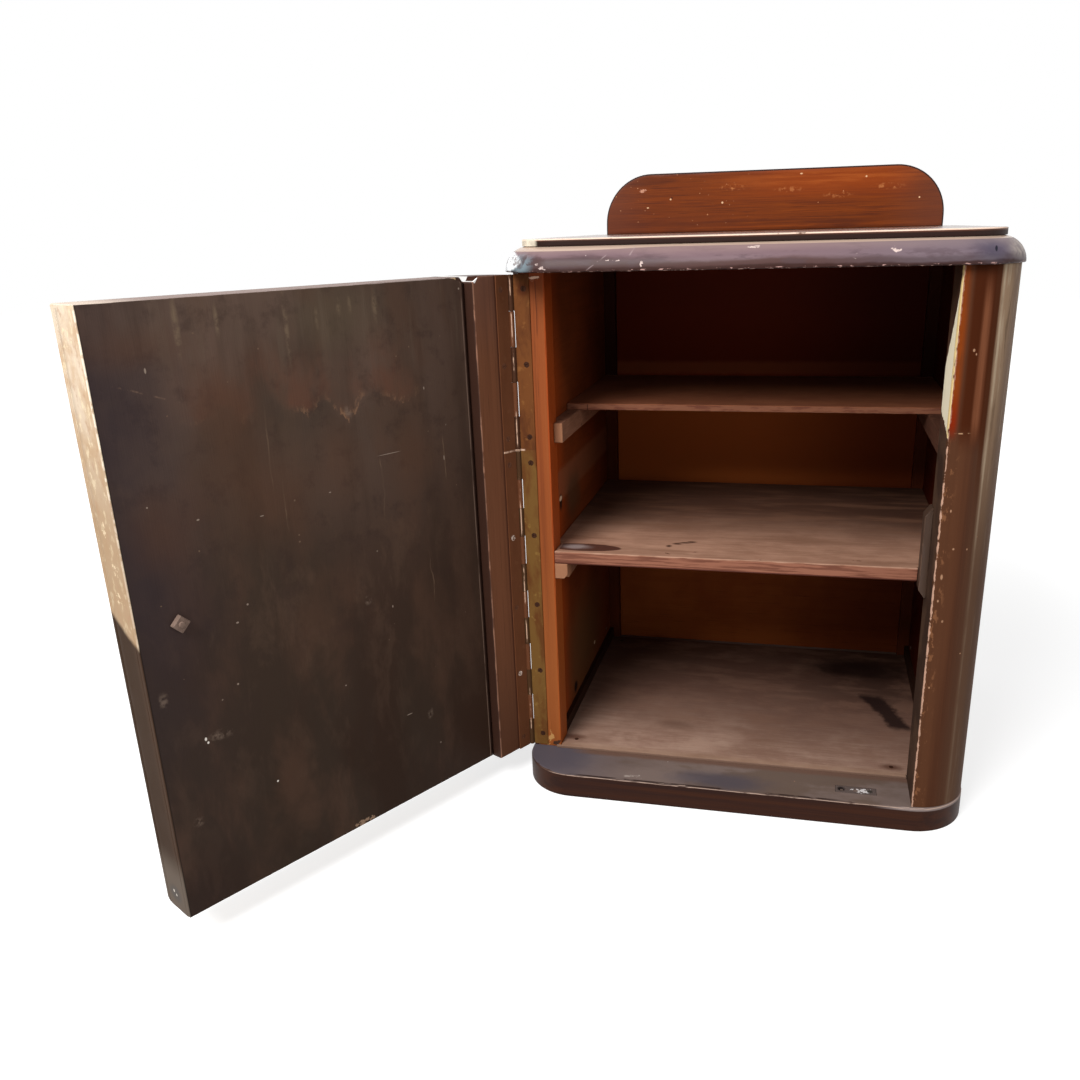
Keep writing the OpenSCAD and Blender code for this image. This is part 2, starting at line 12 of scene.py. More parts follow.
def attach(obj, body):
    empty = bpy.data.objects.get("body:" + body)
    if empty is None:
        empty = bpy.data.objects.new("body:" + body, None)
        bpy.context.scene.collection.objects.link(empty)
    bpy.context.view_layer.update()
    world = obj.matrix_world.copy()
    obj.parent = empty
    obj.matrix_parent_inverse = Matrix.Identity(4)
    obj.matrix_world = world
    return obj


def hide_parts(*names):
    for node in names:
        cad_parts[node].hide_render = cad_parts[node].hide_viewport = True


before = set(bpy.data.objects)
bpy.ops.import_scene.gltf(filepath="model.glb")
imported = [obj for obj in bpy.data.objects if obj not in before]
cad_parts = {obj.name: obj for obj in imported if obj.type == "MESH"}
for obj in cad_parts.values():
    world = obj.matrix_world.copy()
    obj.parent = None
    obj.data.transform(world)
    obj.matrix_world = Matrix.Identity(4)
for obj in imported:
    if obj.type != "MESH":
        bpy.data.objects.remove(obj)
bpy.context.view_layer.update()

# ---- Sizes -------------------------------------------------------------------------------------------
HALF_W, FRONT, BACK = 204.0, -172.5, 172.5
BASE_T, FLOOR_Z, TOP_Z, PANEL_Z, CAP_Z = 24.0, 26.5, 486.0, 506.0, 511.5
WALL_X, STILE_X, POST_X = 181.0, 176.5, 157.0
STRIP_Y, STILE_Y, POST_BACK, BACK_POST_Y = -126.5, -123.7, -121.5, 155.5
STILE_BACK = -97.4
UPPER_Z, MIDDLE_Z = (333, 351, 357), (205, 220, 232)  # under the runner, under the shelf, over the shelf
UPSTAND_X, UPSTAND_Y, UPSTAND_TOP = 177.5, 158.5, 572.5
DOOR_Z, DOOR_TOP, DOOR_X, DOOR_IN = 26.0, 483.0, 154.0, -136.0
RAIL_X, LOCK_X, SKIN_Y, CORE_Y = -158.0, 104.0, -167.5, -140.0  # what the rails of the door lie between
CATCH = np.array([110.0, -153.75])
KNOB_X, KNOB_Z = 123.0, 262.0
DENT = (178.2, -171.2, 497.0)
PIN = np.array([-206.4, -125.1])
OPEN = math.radians(119.4)


# ---- Shapes ------------------------------------------------------------------------------------------
def unit(v):
    return v / np.linalg.norm(v, axis=-1, keepdims=True)


def corner_arcs(corners, radii, inset, arc):
    """The arc at each corner of a closed line: start + r sin(a) d + r (1 - cos(a)) n, where d is the way in
    and n points to the arc's centre. An inset moves the corners in along their mitres, and outer arcs shrink."""
    p, r = np.array(corners, float), np.array(radii, float)
    d, e = unit(p - np.roll(p, 1, 0)), unit(np.roll(p, -1, 0) - p)
    out_d, out_e = np.stack([d[:, 1], -d[:, 0]], 1), np.stack([e[:, 1], -e[:, 0]], 1)
    p = p - inset * (out_d + out_e) / (1 + (out_d * out_e).sum(1, keepdims=True))
    turn = np.arctan2(d[:, 0] * e[:, 1] - d[:, 1] * e[:, 0], (d * e).sum(1))
    r = np.where(turn > 0, np.maximum(r - inset, 0.04), r + inset)
    tangent = r * np.tan(np.abs(turn) / 2)
    room = np.linalg.norm(np.roll(p, -1, 0) - p, axis=1) / (tangent + np.roll(tangent, -1))
    r = r * np.minimum(1.0, 0.97 * np.minimum(room, np.roll(room, 1)))
    start = p - d * (r * np.tan(np.abs(turn) / 2))[:, None]
    a = (np.linspace(0, 1, arc + 1) * np.abs(turn)[:, None])[..., None]
    n = -out_d * np.sign(turn)[:, None]
    return start[:, None] + r[:, None, None] * (np.sin(a) * d[:, None] + (1 - np.cos(a)) * n[:, None])


def outline(corners, radii, inset, step, guard, arc):
    """A closed line of arcs and straight runs, as (points, wear). The runs are split evenly, with a guard
    point beside each arc. Wear is the sine along the small arcs, which are arrises, and 0 elsewhere."""
    plain, arcs = corner_arcs(corners, radii, 0.0, arc), corner_arcs(corners, radii, inset, arc)
    length = np.maximum(np.linalg.norm(np.roll(plain[:, 0], -1, 0) - plain[:, -1], axis=1), 1e-6)
    points, wear = [], []
    for k, (here, ahead) in enumerate(zip(arcs, np.roll(arcs, -1, 0))):
        g = min(guard / length[k], 0.3)
        f = g + (1 - 2 * g) * np.linspace(0, 1, max(1, round(length[k] * (1 - 2 * g) / step)) + 1)
        points += [here, here[-1] + f[:, None] * (ahead[0] - here[-1])]
        wear += [float(radii[k] < 6) * np.sin(np.linspace(0, np.pi, arc + 1)), np.zeros(len(f))]
    return np.vstack(points), np.concatenate(wear)


def rim(low, high, edge, guard, rise, turns):
    """The rings of a board from its lower to its upper face, as rows of (inset, height, wear): a quarter
    circle of each edge's radius, with guard rings beside it on the flats."""
    a = np.linspace(0, np.pi / 2, turns + 1)
    g = min(guard, 0.3 * (high - low - sum(edge)))
    h = np.linspace(low + edge[0] + g, high - edge[1] - g, max(1, round((high - low) / rise)) + 1)
    arris = np.sin(2 * a)
    return np.vstack([
        [[edge[0] + guard, low, 0]],
        np.stack([edge[0] * (1 - np.sin(a)), low + edge[0] * (1 - np.cos(a)), arris], 1),
        np.stack([0 * h, h, 0 * h], 1),
        np.stack([edge[1] * (1 - np.cos(a)), high - edge[1] * (1 - np.sin(a)), arris], 1),
        [[edge[1] + guard, high, 0]]])


def laid(grid, along):
    """Outlines are drawn in u and v and carried along w. Along z that is (u, v, w), along y it is
    (u, -w, v) and along x it is (w, u, v), all of which keep the faces outward."""
    u, v, w = np.moveaxis(grid, -1, 0)
    return np.stack({"z": (u, v, w), "y": (u, -w, v), "x": (w, u, v)}[along], -1)


def rings(corners, radii, low, high, edge=(0.8, 0.8), guard=2.4, step=14.0, rise=40.0, arc=4, turns=3, along="z"):
    """A board as a grid of rings: its outline, inset ring by ring as rim() says, from low to high."""
    if along == "y":
        low, high, edge = -high, -low, edge[::-1]
    rows = rim(low, high, edge, guard, rise, turns)
    lines = [outline(corners, radii, inset, step, guard, arc) for inset in rows[:, 0]]
    grid = np.stack([np.column_stack([line[0], np.full(len(line[0]), h)]) for line, h in zip(lines, rows[:, 1])])
    wear = np.maximum(rows[:, 2:], lines[0][1][None])
    wear[[0, -1]] = 0
    return laid(grid, along), wear


def flutter(p, size, seed, waves=6):
    """Smooth uneven values from 0 to 1: the mean of sines along turned directions, with waves of about size."""
    rng = np.random.default_rng(seed)
    way = unit(rng.normal(size=(waves, 3))) * (2 * np.pi / size) * rng.uniform(0.6, 1.8, (waves, 1))
    return 0.5 + 0.5 * np.sin(p @ way.T + rng.uniform(0, 6.28, waves)).mean(-1) * 1.6


def chipped(grid, wear, depth, size, seed):
    """Arrises that lost chips: worn points sink along the surface normal by depth times a stepped flutter."""
    across = np.roll(grid, -1, 1) - np.roll(grid, 1, 1)
    normal = np.cross(across, np.gradient(grid, axis=0))
    normal /= np.maximum(np.linalg.norm(normal, axis=-1, keepdims=True), 1e-9)
    lost = np.clip((flutter(grid, size, seed) - 0.52) * 3.5, 0, 1) ** 1.5
    return grid - normal * (depth * wear * lost)[..., None]


def welded(points, faces, wear):
    """A skin whose coincident points are one point, without the faces that have no area then."""
    _, first, same = np.unique(points.round(4), axis=0, return_index=True, return_inverse=True)
    same = same.ravel().tolist()
    faces = [list(dict.fromkeys(same[v] for v in face)) for face in faces]
    return points[first], [face for face in faces if len(face) > 2], wear[first]


def skin(grid, wear, closed=False):
    """Quads between neighbouring rings. The end rings get one flat face each, or meet when closed."""
    rows, n = grid.shape[:2]
    i = np.arange(rows * n).reshape(rows, n)
    low, up = (i, np.roll(i, -1, 0)) if closed else (i[:-1], i[1:])
    quads = np.stack([low, np.roll(low, -1, 1), np.roll(up, -1, 1), up], -1).reshape(-1, 4).tolist()
    ends = [] if closed else [i[0][::-1].tolist(), i[-1].tolist()]
    return welded(grid.reshape(-1, 3), quads + ends, wear.ravel())


def board(*args, chips=None, **kw):
    grid, wear = rings(*args, **kw)
    if chips:
        grid = chipped(grid, wear, *chips)
    return skin(grid, wear)


def box(u0, v0, u1, v1):
    return [(u0, v0), (u1, v0), (u1, v1), (u0, v1)]


def block(low, high, corner=0.8, **kw):
    """A plain board between two corners, carried along z."""
    return board(box(*low[:2], *high[:2]), [corner] * 4, low[2], high[2], **kw)


def turned(profile, steps):
    """A turned form: the profile's (radius, height) points carried round the z axis."""
    r, z = np.array(profile, float).T[..., None]
    a = np.linspace(0, 2 * np.pi, steps, endpoint=False)
    grid = np.stack([r * np.cos(a), r * np.sin(a), z + 0 * a], -1)
    return grid, np.zeros(grid.shape[:2])


def joined(*parts):
    """Several closed skins as one."""
    start = np.cumsum([0] + [len(p[0]) for p in parts])
    faces = [[v + s for v in f] for p, s in zip(parts, start) for f in p[1]]
    return np.vstack([p[0] for p in parts]), faces, np.concatenate([p[2] for p in parts])


def placed(part, columns, at):
    """A skin whose x, y and z axes become the given columns, moved to a point."""
    return part[0] @ np.array(columns, float) + np.array(at, float), part[1], part[2]


def swung(points, angle=-OPEN):
    """The closed door's points turned about the pins."""
    x, y = (points[:, :2] - PIN).T
    c, s = math.cos(angle), math.sin(angle)
    return np.column_stack([PIN[0] + c * x - s * y, PIN[1] + s * x + c * y, points[:, 2]])


def piece(name, part, body, slot, finish, *nodes):
    """One named piece of the model from a skin, riding on its body in place of its CAD nodes."""
    points, faces, wear = part
    if body == "door":
        points = swung(points)
    mesh = bpy.data.meshes.new(name)
    mesh.from_pydata((points / 1000).tolist(), [], faces)
    mesh.attributes.new("wear", "FLOAT", "POINT").data.foreach_set("value", wear.astype(np.float32))
    mesh.shade_smooth()
    mesh.set_sharp_from_angle(angle=math.radians(32))
    mesh.materials.append(finish)
    obj = bpy.data.objects.new(name, mesh)
    bpy.context.scene.collection.objects.link(obj)
    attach(obj, body)
    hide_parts(*nodes)


# ---- Shader nodes ------------------------------------------------------------------------------------
def tone(red, green, blue):
    """A colour from its 0 to 255 display values."""
    c = np.array([red, green, blue]) / 255
    return (*np.where(c <= 0.04045, c / 12.92, ((c + 0.055) / 1.055) ** 2.4).tolist(), 1.0)


class Web:
    """Puts nodes into a node tree. An input is a number, a vector, another node's output, or a colour as its
    three display values from 0 to 255."""

    def __init__(self, tree):
        self.tree = tree

    def put(self, kind, inputs, **settings):
        node = self.tree.nodes.new("ShaderNode" + kind)
        for key, value in settings.items():
            setattr(node, key, value)
        for key, value in inputs.items():
            socket = node.inputs[key]
            if isinstance(value, bpy.types.NodeSocket):
                self.tree.links.new(value, socket)
            else:
                shown = socket.type == "RGBA" and len(value) == 3
                socket.default_value = tone(*value) if shown else value
        return node

    def maths(self, operation, a, b=0.0, c=0.0):
        return self.put("Math", {0: a, 1: b, 2: c}, operation=operation).outputs[0]

    def vectors(self, operation, a, b=(0, 0, 0)):
        node = self.put("VectorMath", {0: a, 1: b}, operation=operation)
        return node.outputs["Value" if operation in ("LENGTH", "DOT_PRODUCT") else "Vector"]

    def mix(self, amount, under, over, mode="MIX"):
        return self.put("Mix", {0: amount, 6: under, 7: over}, data_type="RGBA", blend_type=mode).outputs[2]

    def between(self, amount, a, b):
        return self.put("Mix", {0: amount, 2: a, 3: b}).outputs[0]

    def span(self, value, low, high, to_low=0.0, to_high=1.0):
        return self.put("MapRange", {0: value, 1: low, 2: high, 3: to_low, 4: to_high},
                        interpolation_type="SMOOTHSTEP").outputs[0]

    def fold(self, operation, values):
        """One value out of many, taken together two by two."""
        return functools.reduce(lambda a, b: self.maths(operation, a, b), values)

    def times(self, *values):
        return self.fold("MULTIPLY", values)

    def most(self, *values):
        return self.fold("MAXIMUM", values)

    def less(self, a, b):
        return self.maths("SUBTRACT", a, b)

    def plain(self, value):
        """The value without its sign."""
        return self.maths("ABSOLUTE", value)

    def scaled(self, value, factor, more):
        """The value times a factor, plus one more."""
        return self.maths("MULTIPLY_ADD", value, factor, more)

    def noise(self, vector, scale, detail=3.0, rough=0.55, warp=0.0):
        return self.put("TexNoise", {"Vector": vector, "Scale": scale, "Detail": detail, "Roughness": rough,
                                     "Distortion": warp}).outputs[0]

    def effect(self, name, **inputs):
        return self.put("Group", {k.replace("_", " "): v for k, v in inputs.items()},
                        node_tree=bpy.data.node_groups[name]).outputs


def effect_group(name, inputs, outputs):
    """An empty shader node group with the given sockets, as (web, inputs, outputs)."""
    tree = bpy.data.node_groups.new(name, "ShaderNodeTree")
    for socket, kind in inputs.items():
        tree.interface.new_socket(socket, in_out="INPUT", socket_type="NodeSocket" + kind)
    for socket in outputs:
        tree.interface.new_socket(socket, in_out="OUTPUT", socket_type="NodeSocketFloat")
    web = Web(tree)
    ins, outs = tree.nodes.new("NodeGroupInput").outputs, tree.nodes.new("NodeGroupOutput").inputs
    return web, ins, lambda socket, value: tree.links.new(value, outs[socket])


def make_effects():
    # Wood: the vector is in units of one fibre. Fibre is the fine streak, Figure the broad one, Pores dashes.
    w, i, out = effect_group("wood grain", {"Vector": "Vector"}, ["Fibre", "Figure", "Pores"])
    out("Fibre", w.noise(i["Vector"], 1.0, 5, 0.62, 0.2))
    out("Figure", w.noise(i["Vector"], 0.085, 3, 0.55, 0.9))
    out("Pores", w.span(w.noise(i["Vector"], 2.1, 1.5, 0.5), 0.64, 0.74))

    # A patch: the distance from Centre in units of Reach, made uneven, is 1 at its edge.
    w, i, out = effect_group("ragged patch", {"Vector": "Vector", "Centre": "Vector", "Reach": "Vector",
                                              "Ragged": "Float", "Soft": "Float", "Grit": "Float"}, ["Mask"])
    away = w.vectors("LENGTH", w.vectors("DIVIDE", w.vectors("SUBTRACT", i["Vector"], i["Centre"]), i["Reach"]))
    uneven = w.maths("MULTIPLY", w.less(w.noise(i["Vector"], i["Grit"], 5, 0.62), 0.5), i["Ragged"])
    over = w.maths("DIVIDE", w.less(w.maths("ADD", away, uneven), 1.0), i["Soft"])
    out("Mask", w.span(over, -1.0, 1.0, 1.0, 0.0))

    # Worn arrises: the mesh's wear value, eaten into by noise. Amount is the share that is worn through.
    w, i, out = effect_group("worn arris", {"Vector": "Vector", "Wear": "Float", "Amount": "Float", "Grit": "Float"},
                             ["Mask"])
    uneven = w.scaled(w.noise(i["Vector"], i["Grit"], 5, 0.68), 1.3, -0.65)
    out("Mask", w.span(w.scaled(i["Wear"], i["Amount"], uneven), 0.44, 0.58))

    # Flecks: a share of the cells hold a small spot.
    w, i, out = effect_group("flecks", {"Vector": "Vector", "Scale": "Float", "Share": "Float", "Size": "Float"},
                             ["Mask"])
    cell = w.put("TexVoronoi", {"Vector": i["Vector"], "Scale": i["Scale"]})
    ragged = w.scaled(w.noise(i["Vector"], w.maths("MULTIPLY", i["Scale"], 3.0), 3), 0.2, -0.1)
    spot = w.span(w.maths("DIVIDE", w.maths("ADD", cell.outputs["Distance"], ragged), i["Size"]), 0.7, 1.1, 1, 0)
    chance = w.put("SeparateColor", {0: cell.outputs["Color"]}).outputs[0]
    out("Mask", w.maths("MULTIPLY", spot, w.maths("LESS_THAN", chance, i["Share"])))


class Finish(Web):
    """One material on Object coordinates, built in layers. On the door they are turned back to the closed door."""

    def __init__(self, name, colour, rough, door=False):
        self.material = bpy.data.materials.new(name)
        self.material.use_nodes = True
        super().__init__(self.material.node_tree)
        self.tree.nodes.clear()
        self.at = self.put("TexCoord", {}).outputs["Object"]
        if door:
            shift = swung(np.zeros((1, 3)), OPEN)[0] / 1000
            self.at = self.put("Mapping", {"Vector": self.at, "Location": tuple(shift),
                                           "Rotation": (0, 0, OPEN)}).outputs[0]
        self.x, self.y, self.z = self.put("SeparateXYZ", {0: self.at}).outputs
        self.wear = self.put("Attribute", {}, attribute_name="wear").outputs["Fac"]
        self.up = self.put("SeparateXYZ", {0: self.put("NewGeometry", {}).outputs["Normal"]}).outputs[2]
        self.colour, self.rough, self.height = colour, rough, None

    def grain(self, along, fibre, length):
        """Fibre, Figure and Pores of wood whose fibres run along an axis, their width and length in mm."""
        scale = [1000 / fibre] * 3
        scale["xyz".index(along)] = 1000 / length
        v = self.put("Mapping", {"Vector": self.at, "Scale": tuple(scale)}).outputs[0]
        return self.effect("wood grain", Vector=v)

    def stretch(self, x, y, z):
        """The coordinates times a factor for each axis; a noise is drawn out where it is under 1."""
        return self.vectors("MULTIPLY", self.at, (x, y, z))

    def tall(self, factor):
        """The coordinates with their heights times a factor."""
        return self.put("Mapping", {"Vector": self.at, "Scale": (1, 1, factor)}).outputs[0]

    def cloud(self, noise, low, high, least=0.0, most=1.0, at=None):
        """A noise of (scale, detail, roughness) as a soft step from least to most between two of its values."""
        return self.span(self.noise(at or self.at, *noise), low, high, least, most)

    def fade(self, axis, start, end, least=0.0, most=1.0):
        """A soft step from least to most between two places along an axis, in mm."""
        return self.span(getattr(self, axis), start / 1000, end / 1000, least, most)

    def flecks(self, scale, share, size):
        """A spot in a share of the cells, which are so many to a metre; its size is in cells."""
        return self.effect("flecks", Vector=self.at, Scale=scale, Share=share, Size=size)[0]

    def worn(self, amount, grit, wear=None):
        """Where the arrises, or the places of another wear value, are worn through."""
        return self.effect("worn arris", Vector=self.at, Wear=wear or self.wear, Amount=amount, Grit=grit)[0]

    def patch(self, centre, reach, ragged, soft, grit=60.0):
        """A ragged patch at a place, given in mm."""
        return self.effect("ragged patch", Vector=self.at, Centre=tuple(c / 1000 for c in centre),
                           Reach=tuple(r / 1000 for r in reach), Ragged=ragged, Soft=soft, Grit=grit)[0]

    def band(self, axis, low, high, soft=4.0, ragged=0.0, grit=60.0):
        """1 between two places along an axis, in mm."""
        v = getattr(self, axis)
        if ragged:
            v = self.scaled(self.noise(self.at, grit, 4, 0.6), ragged / 1000, self.less(v, ragged / 2000))
        s = soft / 1000
        return self.maths("MULTIPLY", self.span(v, low / 1000 - s, low / 1000 + s),
                          self.span(v, high / 1000 - s, high / 1000 + s, 1.0, 0.0))

    def specks(self, across, up, spots, soft=0.25):
        """1 inside any of the spots, each given in mm as its place (across, up) and its two half sizes."""
        flat = self.put("CombineXYZ", {0: getattr(self, across), 1: getattr(self, up)}).outputs[0]
        ways = (self.put("Mapping", {"Vector": flat, "Location": (-x / a, -z / b, 0),
                                     "Scale": (1000 / a, 1000 / b, 0)}).outputs[0] for x, z, a, b in spots)
        away = self.fold("MINIMUM", (self.vectors("LENGTH", way) for way in ways))
        return self.span(away, 1.0 - soft, 1.0 + soft, 1.0, 0.0)

    def scuff(self, centre, reach, share, grit, stretch=(1, 1, 1)):
        """A cluster of small ragged flakes in a soft patch given in mm; share is how much of it they cover."""
        near = self.patch(centre, reach, 0.5, 0.5, 60.0)
        grains = self.noise(self.stretch(*stretch), grit, 4, 0.65)
        level = self.scaled(near, 0.3, grains)
        return self.span(level, 0.96 - 0.3 * share, 0.99 - 0.3 * share)

    def stroke(self, off, wide, low, high, soft):
        """A thin line where an offset is 0, which fades over a width in mm, between two heights."""
        return self.times(self.span(self.plain(off), 0.0, wide / 1000, 1.0, 0.0), self.band("z", low, high, soft))

    def line(self, x0, low, high, wander, wide, seed):
        """A thin upright line at x0 that wanders by so many mm, between two heights, all in mm."""
        way = self.put("Mapping", {"Vector": self.at, "Location": (seed, 0, 0), "Scale": (0, 0, 1)}).outputs[0]
        off = self.scaled(self.noise(way, 26.0, 4, 0.5), wander / 500, self.less(self.x, (x0 + wander) / 1000))
        return self.stroke(off, wide, low, high, 5)

    def scratch(self, across, start, end, wide):
        """A thin straight scratch between two places (across, z), in mm, the lower one first."""
        lean = (end[0] - start[0]) / (end[1] - start[1])
        off = self.less(getattr(self, across), self.scaled(self.z, lean, (start[0] - lean * start[1]) / 1000))
        return self.stroke(off, wide, start[1], end[1], 0.6)

    def layer(self, mask, colour, rough=None, mode="MIX"):
        """Lays a colour, and a roughness, over those so far. A list of masks stands for their product."""
        mask = self.times(*mask) if isinstance(mask, list) else mask
        self.colour = self.mix(mask, self.colour, colour, mode)
        if rough is not None:
            self.rough = self.between(mask, self.rough, rough)

    def tones(self, figure, strong, dark, streak, fine, light):
        """The broad figure in a dark tone and the fine streaks in a light one, each up to a strength."""
        self.layer(self.span(figure, 0.38, 0.66, 0, strong), dark)
        self.layer(self.span(streak, 0.46, 0.78, 0, fine), light)

    def raise_by(self, mask, amount):
        """Adds a mask to the height that the bump reads, times an amount in units of the bump's depth."""
        if self.height is None:
            self.height = self.maths("MULTIPLY", mask, amount)
        else:
            self.height = self.scaled(mask, amount, self.height)

    def done(self, depth, specular, metal=0.0, coat=0.0, coat_rough=0.1):
        """The shader itself. Depth is the bump's depth in mm."""
        shader = self.put("BsdfPrincipled", {"Base Color": self.colour, "Roughness": self.rough, "Metallic": metal,
                                             "Coat Weight": coat, "Coat Roughness": coat_rough,
                                             "Specular IOR Level": specular})
        if self.height is not None:
            bump = self.put("Bump", {"Height": self.height, "Distance": depth / 1000, "Strength": 1.0})
            self.tree.links.new(bump.outputs[0], shader.inputs["Normal"])
        self.tree.links.new(shader.outputs[0], self.put("OutputMaterial", {}).inputs[0])
        return self.material


# ---- Finishes ----------------------------------------------------------------------------------------
make_effects()


def varnish(name, along, base, dark, light, rough=0.36, fibre=1.1, length=32, door=False):
    """Varnished wood in three tones: broad figure in the dark one, fine fibres in the light one, dark pores."""
    f = Finish(name, base, rough, door)
    streak, figure, pores = f.grain(along, fibre, length)[:]
    f.tones(figure, 1, dark, streak, 0.55, light)
    f.layer([pores, 0.5], (26, 15, 11))
    f.raise_by(streak, 0.35)
    return f


def dark_varnish(name, along, door=False):
    """The cabinet's red-brown varnish, with a few pale nicks and worn arrises."""
    f = varnish(name, along, (74, 40, 25), (50, 27, 18), (92, 50, 30), 0.38, door=door)
    f.layer(f.flecks(70, 0.05, 0.09), (170, 136, 108), 0.6)
    worn = f.worn(0.6, 150)
    f.layer(worn, (186, 140, 110), 0.7)
    f.raise_by(worn, -0.4)
    return f


def base_finish():
    """The plinth: dark front with a thin rubbed arris, and a ledge gone blue-grey under dust and a painted sheen."""
    f = Finish("base_varnish", (58, 30, 17), 0.45)
    streak, figure = f.grain("x", 1.1, 60)[:2]
    f.tones(figure, 1, (42, 22, 16), streak, 0.4, (68, 38, 26))
    ledge = f.span(f.up, 0.75, 0.9)
    haze = f.noise(f.stretch(0.4, 1, 1), 26, 4, 0.6)
    # The ledge's pale and blue-grey tones are dust with a painted sheen.
    f.layer([ledge, f.span(haze, 0.3, 0.62, 0.75, 1)], (124, 107, 100), 0.42)
    f.layer([ledge, f.cloud((20, 5, 0.6), 0.48, 0.6, 0, 0.7, at=f.stretch(0.5, 1, 1))], (100, 82, 70), 0.4)
    f.layer([ledge, f.fade("x", -90, -170, 0, 0.6)], (98, 92, 100), 0.36)
    blue = f.most(f.patch((-182, -138, 24), (34, 44, 8), 0.9, 0.6, 50),
                  f.patch((-14, -160, 24), (40, 13, 8), 0.9, 0.6, 50))
    f.layer([ledge, blue, 0.7], (78, 74, 84), 0.4)
    f.layer([ledge, f.band("y", -133, -120, 3, 5, 70), f.fade("x", -170, -140)], (108, 82, 70), 0.6)
    f.layer([ledge, f.flecks(120, 0.06, 0.07)], (170, 156, 148), 0.6)
    f.layer([ledge, f.scuff((-96, -166, 24), (12, 4, 4), 0.5, 260, (0.5, 1, 1))], (160, 146, 138), 0.6)
    arris = f.times(f.fade("z", 22.2, 23), f.span(f.up, 0.8, 0.5), f.span(f.up, 0.15, 0.4))
    rubbed = f.times(f.fade("x", 120, 150), f.fade("z", 20.5, 21.8), f.span(f.up, 0.9, 0.7))
    f.layer([rubbed, 0.8], (146, 130, 126), 0.6)
    f.layer([ledge, f.fade("y", -171.7, -172.7), f.fade("x", -165, -140), f.fade("x", 110, 80),
             f.cloud((50, 4), 0.38, 0.5, 0.2, 0.9)], (46, 32, 28))
    f.layer([arris, f.cloud((40, 4, 0.6), 0.36, 0.52, 0.25, 0.95), f.fade("x", -195, -180)], (176, 150, 134), 0.6)
    f.layer(f.flecks(110, 0.05, 0.09), (150, 118, 100), 0.6)
    return f.done(0.2, coat=0.03, coat_rough=0.25, specular=0.08)


def side_finish():
    return dark_varnish("side_varnish", "z").done(0.2, coat=0.2, coat_rough=0.2, specular=0.3)


